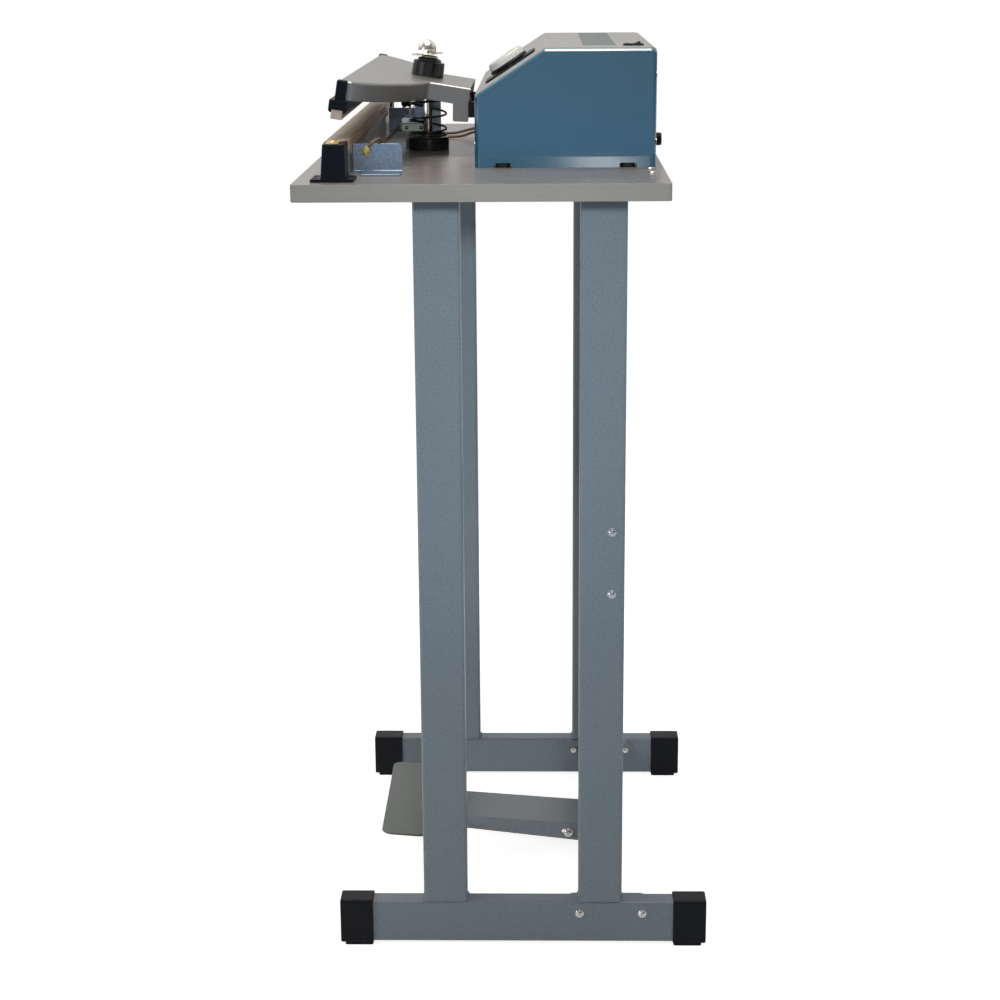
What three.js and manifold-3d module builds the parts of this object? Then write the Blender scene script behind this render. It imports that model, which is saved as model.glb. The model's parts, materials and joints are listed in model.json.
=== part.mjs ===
// Foot-pedal impulse heat sealer on a stand. Millimetres, +Z up, operator at -Y.
// Origin: on the floor, under the middle of the machine's bounding box.
import * as THREE from 'three';
import { mergeVertices } from 'three/addons/utils/BufferGeometryUtils.js';
import Module from 'manifold-3d';

const wasm = await Module();
wasm.setup();

// Overall sizes
const MACHINE_DEPTH = 440;      // table front edge to the rear ends of the foot caps
const TABLE_WIDTH = 754;
const TABLE_DEPTH = 382;
const TABLE_THICK = 18;
const TABLE_TOP = 888;          // working height
const TABLE_CORNER = 4;
const SEAL_HALF = 300;          // half of the usable seal length

// Fits
const GAP = 0.3;                // running and seating clearance between two pieces
const FACE_GAP = 0.03;          // between two faces screwed together
const SLOT_GAP = 1.5;           // all round the pull rod where it passes through a plate
const OVERRUN = 2;              // how far a cutting solid runs past what it cuts

// Stand
const TUBE_SIDE = 25;           // narrow side of the rectangular tube, across the machine
const TUBE_FACE = 50;           // wide side of the tube
const TUBE_WALL = 1.5;
const TUBE_ROUND = 3;
const STAND_HALF = 267;         // outer faces of the legs and foot bars
const FRONT_LEG_BACK = 140;     // table front to the front legs' centre
const REAR_LEG_AHEAD = 122.4;   // rear legs' centre to the foot caps' rear ends
const FOOT_SETBACK = 18;        // table front to the front caps' outer face
const CAP_LENGTH = 38;
const CAP_WALL = 2;
const CAP_SOLE = 4;
const TOP_PLATE_THICK = 5;
const TOP_PLATE_WIDTH = 50;
const TOP_PLATE_REACH = 32;     // past the legs, front and back
const CROSS_HEIGHT = 100;
const CROSS_Z = 460;
const CROSS_FLANGE = 20;
const CROSS_SHEET = 2;
const CROSS_BACK = 22;          // web behind the rear legs' centre
const LOW_TUBE_DEPTH = 30;
const LOW_TUBE_HEIGHT = 27;
const LOW_TUBE_BACK = 8.4;      // behind the rear legs' centre
const LOW_TUBE_Z = 40;
const LOW_PLATE_THICK = 4;
const LOW_PLATE_LENGTH = 96;

// Control box
const BOX_HALF = 218;
const BOX_BEHIND_HINGE = 17;
const BOX_DEPTH = 194;
const BOX_FRONT_HEIGHT = 76.5;
const BOX_HEIGHT = 125;
const BOX_SLOPE_DEPTH = 75;
const BOX_SHEET = 1.2;
const COVER_RIM = 12;
const COVER_ROUND = 5;
const COVER_WALL = 2;
const BASE_SHEET = 1.6;
const BASE_FLANGE = 18;
const NOTCH_WIDTH = 19;
const NOTCH_HEIGHT = 5;
const NOTCH_FRONT = 30;         // from the box front to the first notch's centre
const NOTCH_REAR = 30;          // from the box rear to the second notch's centre

// Timer, switch and mains inlet
const KNOB_FROM_SIDE = 111;     // centre to the box's right side
const KNOB_DIAMETER = 44;
const KNOB_HEIGHT = 11.5;
const KNOB_TAPER = 1.5;
const DIAL_SIDE = 64;
const DIAL_THICK = 2;
const DIAL_ROUND = 5;
const DIAL_GAP = 1;             // under the knob
const POT_DIAMETER = 24;
const POT_DEPTH = 12;
const POT_SHAFT = 6;
const SWITCH_FROM_SIDE = 58;
const SWITCH_LENGTH = 22;
const SWITCH_WIDTH = 16;
const SWITCH_FRAME = 2;
const SWITCH_BODY_DEPTH = 18;
const SWITCH_FROM_REAR = 23;    // centre to the box's rear wall
const ROCKER_RISE = 3;
const ROCKER_END_GAP = 0.9;
const ROCKER_TILT = 7;          // degrees, half of its throw
const INLET_FROM_SIDE = 68;
const INLET_HEIGHT = 24;        // above the table
const INLET_DIAMETER = 16;
const INLET_BORE = 8;
const INLET_PROUD = 9;
const INLET_THREAD = 12;
const INLET_INSIDE = 10;

// Inside the box
const CORE_LENGTH = 96;
const CORE_DEPTH = 60;
const CORE_HEIGHT = 80;
const COIL_LENGTH = 62;
const COIL_DEPTH = 84;
const COIL_HEIGHT = 50;
const CORE_FROM_SIDE = 138;     // centre to the box's left side
const CORE_BACK = 115;          // centre to the box's front
const BOARD_WIDTH = 90;
const BOARD_DEPTH = 70;
const BOARD_THICK = 1.6;
const BOARD_POST = 8;
const BOARD_FROM_SIDE = 128;    // centre to the box's right side
const RELAY_WIDTH = 28;
const RELAY_DEPTH = 20;
const RELAY_HEIGHT = 22;

// Lower jaw
const JAW_BACK = 40;            // table front to the jaw line
const SEAL_BAR_HEIGHT = 35.9;
const SEAL_BAR_DEPTH = 22;
const SEAL_BAR_WEB = 3;
const STRIP_WIDTH = 5;
const STRIP_THICK = 0.5;
const CLOTH_THICK = 0.6;
const CLOTH_SKIRT = 13;
const CLOTH_SHORT = 8;          // the cloth stops short of each end block
const BLOCK_LENGTH = 43;
const BLOCK_DEPTH = 26;
const BLOCK_TAPER = 1.2;
const BLOCK_FOOT = 9;           // foot flange past the block, front and back
const BLOCK_FOOT_THICK = 3;
const BLOCK_FROM_SEAL = 15;     // seal's end to the block's inner face
const TERMINAL_LENGTH = 26;
const TERMINAL_DEPTH = 15;
const TERMINAL_THICK = 3;
const BRACKET_X = 260;
const BRACKET_SHEET = 2;
const BRACKET_HEIGHT = 30;
const BRACKET_DEPTH = 51;
const BRACKET_FOOT = 42;
const BRACKET_BEHIND = 14;      // jaw line to the bracket's front edge

// Leads
const LEAD_DIAMETER = 3.5;
const LEAD_SIDES = 8;
const LEAD_STEPS = 26;

// Upper arm, drawn closed and level about its hinge
const HINGE_BEHIND_ROD = 44;
const HINGE_HEIGHT = 52;        // above the table
const ARM_OPEN = 9.2;           // degrees
const ARM_TOP = 25;             // above the hinge
const ARM_SHEET = 3;
const ARM_SKIRT = 20;
const ARM_LEAN_SHARE = 1.6;     // inset of the slanted rear skirt, as a share of the sheet
const ARM_HALF = 275;
const ARM_FRONT = -126.5;
const ARM_TIP = -112;           // rear of the wing at its tip
const ARM_REAR = 5;
const ARM_SHOULDER_X = 212.5;
const ARM_SHOULDER_Y = -60.2;
const NECK_HALF = 88;
const NECK_CORNER = -38.5;
const EAR_DROP = 14;
const EAR_FRONT = 13.5;
const PIN_RADIUS = 5;
const LUG_THICK = 5;
const LUG_REACH = 9;
const HINGE_PLATE_THICK = 3;
const HINGE_PLATE_BELOW = 13;
const HINGE_PLATE_ABOVE = 15;
const LUG_SIDE_GAP = 0.5;
const PRESS_DEPTH = 18.5;
const PRESS_HEIGHT = 13;
const PRESS_HALF = 290;
const PRESS_WALL = 2;
const SILICONE_DEPTH = 11.7;
const SILICONE_SINK = 3;        // into the press bar's groove
const CLOSED_GAP = 0.4;         // silicone to cloth with the jaws shut
const TIP_CAP_LENGTH = 12;
const TIP_CAP_PROUD = 1;

// Pull rod and what is on it
const ROD_BEHIND_JAW = 79;
const ROD_RADIUS = 5;
const SEAT_RADIUS = 24;
const SEAT_HEIGHT = 15;
const SEAT_ROUND = 2;
const SPRING_OUTER = 44.6;
const SPRING_WIRE = 2.4;
const SPRING_CURLS = 5;
const SPRING_CURL_STEPS = 8;
const SPRING_SIDES = 5;
const SPRING_END_RISE = 3.6;    // rise of the closed curl at each end
const BUSH_Y = -49;             // bush centre from the hinge
const BUSH_RADIUS = 18.75;
const BUSH_HEIGHT = 17;
const BUSH_NECK_RADIUS = 14;
const BUSH_NECK_HEIGHT = 5;
const WASHER_RADIUS = 17.75;
const WASHER_THICK = 2.5;
const ROD_SLOT_FRONT = -58.5;   // slot for the rod's swing, from the hinge
const ROD_SLOT_REAR = -38;
const NUT_RADIUS = 10;
const NUT_HEX = 8;              // height of its hexagon
const NUT_HEIGHT = 17.5;
const NUT_BORE_DEPTH = 12;
const EYE_RADIUS = 9;
const EYE_THICK = 8;
const EYE_CLEARANCE = 1.2;

// Microswitch
const MICRO_X = -33;
const MICRO_THICK = 10.3;
const MICRO_LENGTH = 28;
const MICRO_HEIGHT = 15.5;
const MICRO_AHEAD = 33;         // its front to the rod's axis
const MICRO_LIFT = 19;          // above the table
const MICRO_ROUND = 1;
const LEVER_WIDTH = 5;
const LEVER_THICK = 1;
const LEVER_LENGTH = 51.4;
const LEVER_ANGLE = 57;         // degrees above the switch
const LEVER_KNUCKLE = 1.5;
const LEVER_SET = 7;            // knuckle from the switch's front
const PLATE_FRONT = 4;          // from the switch's front
const PLATE_STEP = 15;
const PLATE_REAR = 46;
const PLATE_TALL = 57;
const PLATE_LOW = 37;
const PLATE_SHEET = 2;
const PLATE_FOOT = 20;

// Pedal, drawn level about its pivot
const PEDAL_PIVOT_AHEAD = 46.4; // of the low cross tube's centre
const PEDAL_PIVOT_BELOW = 0.9;
const PEDAL_RISE = 4.5;         // degrees at rest
const PEDAL_HALF = 39;
const PEDAL_SHEET = 2.5;
const PEDAL_TOP = 12.8;         // above the pivot
const PEDAL_REAR = 14;
const PEDAL_PAST_ROD = 59.4;
const PEDAL_REAR_BELOW = 10.2;
const PEDAL_FRONT_BELOW = 0.5;
const TREAD_HALF = 114;
const TREAD_PROUD = 7;          // past the arm's front
const TREAD_DEPTH = 57;
const TREAD_THICK = 3;
const TREAD_ROUND = 13;
const PEDAL_EAR_X = 33;
const PEDAL_EAR_THICK = 4;
const PEDAL_EAR_RADIUS = 8.5;
const PEDAL_BOLT_RADIUS = 4;
const BOLT_HEAD_RADIUS = 6.5;
const BOLT_HEAD_HEIGHT = 4;
const LINK_PIN_RADIUS = 4;
const LINK_PIN_Z = 4.5;         // above the pedal's pivot line

// Worked-out places
const rad = THREE.MathUtils.degToRad;
const SIDES = [['right', 1], ['left', -1]];
const tableFront = -MACHINE_DEPTH / 2;
const tableUnder = TABLE_TOP - TABLE_THICK;
const footRearY = MACHINE_DEPTH / 2;
const footFrontY = tableFront + FOOT_SETBACK;
const frontLegY = tableFront + FRONT_LEG_BACK;
const rearLegY = footRearY - REAR_LEG_AHEAD;
const lowTubeY = rearLegY + LOW_TUBE_BACK;
const pedalPivotY = lowTubeY - PEDAL_PIVOT_AHEAD;
const pedalPivotZ = LOW_TUBE_Z - PEDAL_PIVOT_BELOW;
const jawY = tableFront + JAW_BACK;
const rodY = jawY + ROD_BEHIND_JAW;
const hingeY = rodY + HINGE_BEHIND_ROD;
const hingeZ = TABLE_TOP + HINGE_HEIGHT;
const sealBarTop = TABLE_TOP + SEAL_BAR_HEIGHT;
const microFrontY = rodY - MICRO_AHEAD;
const microBaseZ = TABLE_TOP + MICRO_LIFT;
const barBottom = CAP_SOLE;
const barTop = barBottom + TUBE_FACE;
const legX = STAND_HALF - TUBE_SIDE / 2;
const legTop = tableUnder - TOP_PLATE_THICK;
const boxFrontY = hingeY + BOX_BEHIND_HINGE;
const boxRearY = boxFrontY + BOX_DEPTH;
const boxTop = TABLE_TOP + BOX_HEIGHT;
const slopeTopY = boxFrontY + BOX_SLOPE_DEPTH;
const slopeAngle = Math.atan2(BOX_HEIGHT - BOX_FRONT_HEIGHT, BOX_SLOPE_DEPTH);
const clothTop = sealBarTop + STRIP_THICK + CLOTH_THICK;
const knobX = BOX_HALF - KNOB_FROM_SIDE;
const switchX = BOX_HALF - SWITCH_FROM_SIDE;
const inletX = BOX_HALF - INLET_FROM_SIDE;
const inletZ = TABLE_TOP + INLET_HEIGHT;
const coreX = CORE_FROM_SIDE - BOX_HALF;
const coreY = boxFrontY + CORE_BACK;
const boardX = BOX_HALF - BOARD_FROM_SIDE;
const blockInner = SEAL_HALF + BLOCK_FROM_SEAL;
const armAngle = rad(ARM_OPEN);
const rodFromHinge = rodY - hingeY;
const washerTop = ARM_TOP + BUSH_HEIGHT + BUSH_NECK_HEIGHT + WASHER_THICK;
const nutBase = hingeZ + washerTop / Math.cos(armAngle) - rodFromHinge * Math.tan(armAngle) + GAP;
const pedalAngle = rad(PEDAL_RISE);
const pedalFront = rodY - pedalPivotY - PEDAL_PAST_ROD;
const treadFront = pedalFront - TREAD_PROUD;
const linkY = (rodY - pedalPivotY - LINK_PIN_Z * Math.sin(pedalAngle)) / Math.cos(pedalAngle);
const linkWorldZ = pedalPivotZ + LINK_PIN_Z * Math.cos(pedalAngle) - linkY * Math.sin(pedalAngle);

// Finishes
function finish(color, roughness, metalness = 0) {
  return new THREE.MeshStandardMaterial({ color, roughness, metalness });
}
const standPaint = finish(0x75838f, 0.55, 0.3);
const pedalPaint = finish(0x7d8485, 0.5, 0.3);
const boxPaint = finish(0x2f6078, 0.35, 0.4);
const panelPaint = finish(0xa39a98, 0.4, 0.2);
const armPaint = finish(0x6f6b69, 0.45, 0.4);
const boardTop = finish(0xa29b9c, 0.15);
const blackPlastic = finish(0x14151a, 0.45);
const palePlastic = finish(0xc9c6c2, 0.35);
const zincSheet = finish(0x9fabb8, 0.35, 0.7);
const bareSteel = finish(0xa9adb2, 0.3, 0.9);
const chromed = finish(0xd9dadc, 0.1, 1);
const brassed = finish(0xb9935a, 0.3, 0.9);
const brownCloth = finish(0x8a6b4d, 0.5);
const siliconeRubber = finish(0xb59f92, 0.7);
const brownLead = finish(0x6b4a2c, 0.6);
const springSteel = finish(0x1c1d20, 0.4, 0.6);
const boardGreen = finish(0x2d5b3a, 0.5);
const windingPaper = finish(0xb8892f, 0.6);

// Geometry helpers
const WELD = 1e-4;
const SMALL_ROUND = 6;          // segments per half turn of a small circle
const LARGE_ROUND = 10;
const machine = new THREE.Group();

function add(name, geometry, material, group = machine) {
  const mesh = new THREE.Mesh(geometry, material);
  mesh.name = name;
  group.add(mesh);
  return mesh;
}

function solid(geometry) {
  const bare = geometry.clone();
  bare.deleteAttribute('normal');
  bare.deleteAttribute('uv');
  const welded = mergeVertices(bare, WELD);
  return new wasm.Manifold(new wasm.Mesh({
    numProp: 3,
    vertProperties: Float32Array.from(welded.attributes.position.array),
    triVerts: Uint32Array.from(welded.index.array),
  }));
}

function geometryOf(manifold) {
  const { vertProperties, triVerts, numProp } = manifold.getMesh();
  const geometry = new THREE.BufferGeometry();
  const position = new Float32Array(vertProperties.length / numProp * 3);
  for (let i = 0; i < position.length / 3; i += 1) {
    position.set(vertProperties.subarray(i * numProp, i * numProp + 3), i * 3);
  }
  geometry.setAttribute('position', new THREE.BufferAttribute(position, 3));
  geometry.setIndex(new THREE.BufferAttribute(Uint32Array.from(triVerts), 1));
  return geometry;
}

function cut(base, ...tools) {
  return geometryOf(tools.reduce((body, tool) => body.subtract(solid(tool)), solid(base)));
}

function join(first, ...others) {
  return geometryOf(others.reduce((body, other) => body.add(solid(other)), solid(first)));
}

// A shape drawn in (Y, Z) and run along X, or drawn in (X, Z) and run along Y
const alongX = new THREE.Matrix4().set(0, 0, 1, 0, 1, 0, 0, 0, 0, 1, 0, 0, 0, 0, 0, 1);
const alongY = new THREE.Matrix4().set(1, 0, 0, 0, 0, 0, -1, 0, 0, 1, 0, 0, 0, 0, 0, 1);

function prism(shape, length, segments = 3, bevel = {}) {
  const settings = { depth: length, bevelEnabled: false, curveSegments: segments, ...bevel };
  return new THREE.ExtrudeGeometry(shape, settings);
}
function runX(shape, x0, x1, segments) {
  return prism(shape, x1 - x0, segments).applyMatrix4(alongX).translate(x0, 0, 0);
}
function runY(shape, y0, y1, segments) {
  return prism(shape, y1 - y0, segments).applyMatrix4(alongY).translate(0, y1, 0);
}
function runZ(shape, z0, z1, segments) {
  return prism(shape, z1 - z0, segments).translate(0, 0, z0);
}
function block(x0, x1, y0, y1, z0, z1) {
  const box = new THREE.BoxGeometry(x1 - x0, y1 - y0, z1 - z0);
  return box.translate((x0 + x1) / 2, (y0 + y1) / 2, (z0 + z1) / 2);
}

function trace(path, u0, v0, u1, v1, r) {
  const quarter = Math.PI / 2;
  path.moveTo(u0 + r, v0);
  path.lineTo(u1 - r, v0);
  path.absarc(u1 - r, v0 + r, r, -quarter, 0, false);
  path.lineTo(u1, v1 - r);
  path.absarc(u1 - r, v1 - r, r, 0, quarter, false);
  path.lineTo(u0 + r, v1);
  path.absarc(u0 + r, v1 - r, r, quarter, 2 * quarter, false);
  path.lineTo(u0, v0 + r);
  path.absarc(u0 + r, v0 + r, r, 2 * quarter, 3 * quarter, false);
  return path;
}
function roundedRect(u0, v0, u1, v1, r) {
  return trace(new THREE.Shape(), u0, v0, u1, v1, r);
}
function tubeSection(u0, v0, u1, v1, wall, r) {
  const section = roundedRect(u0, v0, u1, v1, r);
  section.holes.push(trace(new THREE.Path(), u0 + wall, v0 + wall, u1 - wall, v1 - wall, r - wall));
  return section;
}
function outline(points) {
  return new THREE.Shape(points.map(([u, v]) => new THREE.Vector2(u, v)));
}
function disc(u, v, r) {
  return new THREE.Shape().absarc(u, v, r, 0, 2 * Math.PI, false);
}

// A bent sheet's section: the outer line, and the same line moved in by the sheet's thickness
function sheetSection(points, thick) {
  const at = points.map(([u, v]) => new THREE.Vector2(u, v));
  const inner = at.map((point, i) => {
    const before = i > 0 ? point.clone().sub(at[i - 1]).normalize() : null;
    const after = i < at.length - 1 ? at[i + 1].clone().sub(point).normalize() : null;
    const a = before ?? after;
    const b = after ?? before;
    const normal = new THREE.Vector2(-a.y - b.y, a.x + b.x).normalize();
    const reach = thick / normal.dot(new THREE.Vector2(-a.y, a.x));
    return point.clone().addScaledVector(normal, reach);
  });
  return new THREE.Shape([...at, ...inner.reverse()]);
}

// A solid of revolution about +Z from its (radius, height) profile, lowest point first
function turned(profile, segments) {
  const points = profile.map(([r, z]) => new THREE.Vector2(r, z));
  return new THREE.LatheGeometry(points, segments).rotateX(Math.PI / 2);
}

// Stand
function addStand() {
  const backs = [['front', frontLegY], ['rear', rearLegY]];
  const half = TUBE_SIDE / 2;
  for (const [side, sign] of SIDES) {
    for (const [end, y] of backs) {
      const section = tubeSection(sign * legX - half, y - TUBE_FACE / 2,
        sign * legX + half, y + TUBE_FACE / 2, TUBE_WALL, TUBE_ROUND);
      add(`leg_${end}_${side}`, runZ(section, barTop, legTop), standPaint);
    }
    const bar = tubeSection(sign * legX - half, barBottom, sign * legX + half, barTop, TUBE_WALL, TUBE_ROUND);
    const barFront = footFrontY + CAP_WALL + GAP;
    const barRear = footRearY - CAP_WALL - GAP;
    add(`foot_bar_${side}`, runY(bar, barFront, barRear), standPaint);
    addFootCap(`foot_cap_front_${side}`, sign * legX, footFrontY, 1);
    addFootCap(`foot_cap_rear_${side}`, sign * legX, footRearY, -1);
    addTopPlate(side, sign);
  }
  addRearCrossmember();
  addPedalCrossmember();
}

// A moulded sleeve over the end of a foot bar, with a thick sole
function addFootCap(name, x, y, inward) {
  const half = TUBE_SIDE / 2 + GAP;
  const y0 = Math.min(y, y + inward * CAP_LENGTH);
  const y1 = Math.max(y, y + inward * CAP_LENGTH);
  const shell = roundedRect(x - half - CAP_WALL, 0, x + half + CAP_WALL, barTop + GAP + CAP_WALL, TUBE_ROUND);
  const bore = roundedRect(x - half, barBottom - GAP, x + half, barTop + GAP, TUBE_ROUND);
  const boreY0 = inward > 0 ? y0 + CAP_WALL : y0 - OVERRUN;
  const boreY1 = inward > 0 ? y1 + OVERRUN : y1 - CAP_WALL;
  add(name, cut(runY(shell, y0, y1), runY(bore, boreY0, boreY1)), blackPlastic);
}

function addTopPlate(side, sign) {
  const y0 = frontLegY - TUBE_FACE / 2 - TOP_PLATE_REACH;
  const y1 = rearLegY + TUBE_FACE / 2 + TOP_PLATE_REACH;
  const half = TOP_PLATE_WIDTH / 2;
  const plate = block(sign * legX - half, sign * legX + half, y0, y1, legTop, tableUnder);
  add(`top_plate_${side}`, plate, standPaint);
}

// A channel between the rear legs, with a tab bolted to each leg's inner face
function addRearCrossmember() {
  const inner = STAND_HALF - TUBE_SIDE;
  const webY = rearLegY + CROSS_BACK;
  const bottom = CROSS_Z - CROSS_HEIGHT / 2;
  const top = CROSS_Z + CROSS_HEIGHT / 2;
  const frontY = webY - CROSS_FLANGE;
  const section = sheetSection([[frontY, bottom], [webY, bottom], [webY, top], [frontY, top]], CROSS_SHEET);
  const tabs = SIDES.map(([, sign]) => {
    const face = sign * inner;
    const back = sign * (inner - CROSS_SHEET);
    return block(Math.min(face, back), Math.max(face, back), frontY, webY, bottom, top);
  });
  add('rear_crossmember', join(runX(section, -inner, inner), ...tabs), standPaint);
}

// A square tube between the foot bars, with bolt plates at its ends and ears for the pedal
function addPedalCrossmember() {
  const inner = STAND_HALF - TUBE_SIDE;
  const y0 = lowTubeY - LOW_TUBE_DEPTH / 2;
  const z0 = LOW_TUBE_Z - LOW_TUBE_HEIGHT / 2;
  const z1 = LOW_TUBE_Z + LOW_TUBE_HEIGHT / 2;
  const section = roundedRect(y0, z0, y0 + LOW_TUBE_DEPTH, z1, TUBE_ROUND);
  const bore = roundedRect(y0 + TUBE_WALL, z0 + TUBE_WALL,
    y0 + LOW_TUBE_DEPTH - TUBE_WALL, z1 - TUBE_WALL, TUBE_WALL);
  const endRound = LOW_TUBE_HEIGHT / 2;
  const y2 = lowTubeY - LOW_PLATE_LENGTH / 2;
  const plate = roundedRect(y2, z0, y2 + LOW_PLATE_LENGTH, z1, endRound);
  const plates = SIDES.map(([, sign]) => {
    const face = sign * inner;
    const back = sign * (inner - LOW_PLATE_THICK);
    return runX(plate, Math.min(face, back), Math.max(face, back), 4);
  });
  const ears = SIDES.map(([, sign]) => {
    const ear = new THREE.Shape();
    ear.absarc(pedalPivotY, pedalPivotZ, PEDAL_EAR_RADIUS, Math.PI / 2, 3 * Math.PI / 2, false);
    ear.lineTo(y0 + TUBE_WALL / 2, pedalPivotZ - PEDAL_EAR_RADIUS);
    ear.lineTo(y0 + TUBE_WALL / 2, pedalPivotZ + PEDAL_EAR_RADIUS);
    const x = sign * PEDAL_EAR_X;
    return runX(ear, x - PEDAL_EAR_THICK / 2, x + PEDAL_EAR_THICK / 2, 6);
  });
  const hole = runX(disc(pedalPivotY, pedalPivotZ, PEDAL_BOLT_RADIUS + GAP),
    -PEDAL_HALF, PEDAL_HALF, SMALL_ROUND);
  const open = runX(bore, -inner - OVERRUN, inner + OVERRUN, 1);
  const tube = cut(join(runX(section, -inner, inner, 2), ...plates), open);
  add('pedal_crossmember', cut(join(tube, ...ears), hole), standPaint);
}

// Table
function addTable() {
  const half = TABLE_WIDTH / 2;
  const board = roundedRect(-half, tableFront, half, tableFront + TABLE_DEPTH, TABLE_CORNER);
  board.holes.push(new THREE.Path().absarc(0, rodY, ROD_RADIUS + SLOT_GAP, 0, 2 * Math.PI, false));
  add('tabletop', runZ(board, tableUnder, TABLE_TOP, SMALL_ROUND), boardTop);
}

// Control box
function boxProfile(inset = 0) {
  const shoulder = inset * Math.tan(slopeAngle / 2);
  const brow = inset * Math.tan((Math.PI / 2 - slopeAngle) / 2);
  return [
    [boxRearY - inset, TABLE_TOP],
    [boxRearY - inset, boxTop - inset],
    [slopeTopY + shoulder, boxTop - inset],
    [boxFrontY + inset, TABLE_TOP + BOX_FRONT_HEIGHT - brow],
    [boxFrontY + inset, TABLE_TOP],
  ];
}

// Turns a part drawn flat, with the box's slope as its ground, onto the slope
const slope = new THREE.Group();
slope.position.set(0, boxFrontY, TABLE_TOP + BOX_FRONT_HEIGHT);
slope.rotation.x = slopeAngle;
const slopeMiddle = BOX_SLOPE_DEPTH / Math.cos(slopeAngle) / 2;
function ontoSlope(geometry) {
  slope.updateMatrix();
  return geometry.applyMatrix4(slope.matrix);
}

function addBoxCover(side, sign) {
  const r = COVER_ROUND;
  const bevel = { bevelEnabled: true, bevelThickness: r, bevelSize: r, bevelOffset: -r, bevelSegments: 3 };
  const outer = prism(outline(boxProfile()), BOX_HALF - r, 1, bevel).applyMatrix4(alongX);
  const rim = BOX_HALF - COVER_RIM;
  const pocket = runX(outline(boxProfile(COVER_WALL)), 0, BOX_HALF - COVER_WALL, 1);
  const mouth = block(rim, BOX_HALF - COVER_WALL, boxFrontY + COVER_WALL,
    boxRearY - COVER_WALL, TABLE_TOP - r - OVERRUN, TABLE_TOP + OVERRUN);
  const keep = solid(block(rim, BOX_HALF + OVERRUN, boxFrontY - OVERRUN, boxRearY + OVERRUN,
    TABLE_TOP, boxTop + OVERRUN));
  const notches = [boxFrontY + NOTCH_FRONT, boxRearY - NOTCH_REAR].map((y) => block(
    BOX_HALF - COVER_RIM - OVERRUN, BOX_HALF + OVERRUN, y - NOTCH_WIDTH / 2, y + NOTCH_WIDTH / 2,
    TABLE_TOP - OVERRUN, TABLE_TOP + NOTCH_HEIGHT));
  const shell = [pocket, mouth, ...notches].reduce((body, tool) => body.subtract(solid(tool)),
    solid(outer).intersect(keep));
  const cover = sign > 0 ? shell : shell.mirror([1, 0, 0]);
  add(`box_side_${side}`, geometryOf(cover), boxPaint);
}

function addBox() {
  for (const [side, sign] of SIDES) addBoxCover(side, sign);
  const wrapHalf = BOX_HALF - COVER_RIM - GAP;
  const shaftHole = runZ(disc(knobX, slopeMiddle, POT_SHAFT / 2 + GAP), -POT_DEPTH, POT_DEPTH, SMALL_ROUND);
  const switchY = boxRearY - SWITCH_FROM_REAR;
  const inside = { x: SWITCH_WIDTH / 2 - SWITCH_FRAME, y: SWITCH_LENGTH / 2 - SWITCH_FRAME };
  const switchHole = block(switchX - inside.x - GAP, switchX + inside.x + GAP,
    switchY - inside.y - GAP, switchY + inside.y + GAP, boxTop - SWITCH_BODY_DEPTH, boxTop + OVERRUN);
  const inletHole = runY(disc(inletX, inletZ, INLET_THREAD / 2 + GAP),
    boxRearY - INLET_INSIDE, boxRearY + OVERRUN, LARGE_ROUND);
  const wrap = runX(sheetSection(boxProfile(), BOX_SHEET), -wrapHalf, wrapHalf, 1);
  add('box_panel', cut(wrap, ontoSlope(shaftHole), switchHole, inletHole), panelPaint);

  const y0 = boxFrontY + COVER_WALL + GAP;
  const y1 = boxRearY - COVER_WALL - GAP;
  const top = TABLE_TOP + BASE_FLANGE;
  const floor = TABLE_TOP;
  const tray = sheetSection([[-wrapHalf, top], [-wrapHalf, floor], [wrapHalf, floor], [wrapHalf, top]],
    BASE_SHEET);
  add('box_base', runY(tray, y0, y1), bareSteel);
  addBoxInside();
}

function addBoxInside() {
  const floor = TABLE_TOP + BASE_SHEET;
  const core = block(coreX - CORE_LENGTH / 2, coreX + CORE_LENGTH / 2,
    coreY - CORE_DEPTH / 2, coreY + CORE_DEPTH / 2, floor, floor + CORE_HEIGHT);
  const coilZ = floor + CORE_HEIGHT / 2;
  const coil = block(coreX - COIL_LENGTH / 2, coreX + COIL_LENGTH / 2,
    coreY - COIL_DEPTH / 2, coreY + COIL_DEPTH / 2, coilZ - COIL_HEIGHT / 2, coilZ + COIL_HEIGHT / 2);
  add('transformer', join(core, coil), windingPaper);
  const boardZ = floor + BOARD_POST;
  const board = block(boardX - BOARD_WIDTH / 2, boardX + BOARD_WIDTH / 2,
    coreY - BOARD_DEPTH / 2, coreY + BOARD_DEPTH / 2, boardZ, boardZ + BOARD_THICK);
  const posts = [-1, 1].flatMap((i) => [-1, 1].map((j) => {
    const x = boardX + i * (BOARD_WIDTH / 2 - BOARD_POST);
    const y = coreY + j * (BOARD_DEPTH / 2 - BOARD_POST);
    return runZ(disc(x, y, BOARD_POST / 2), floor, boardZ + BOARD_THICK, 2);
  }));
  const relay = block(boardX - RELAY_WIDTH / 2, boardX + RELAY_WIDTH / 2,
    coreY - RELAY_DEPTH / 2, coreY + RELAY_DEPTH / 2, boardZ, boardZ + RELAY_HEIGHT);
  add('timer_board', join(board, relay, ...posts), boardGreen);
}

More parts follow.
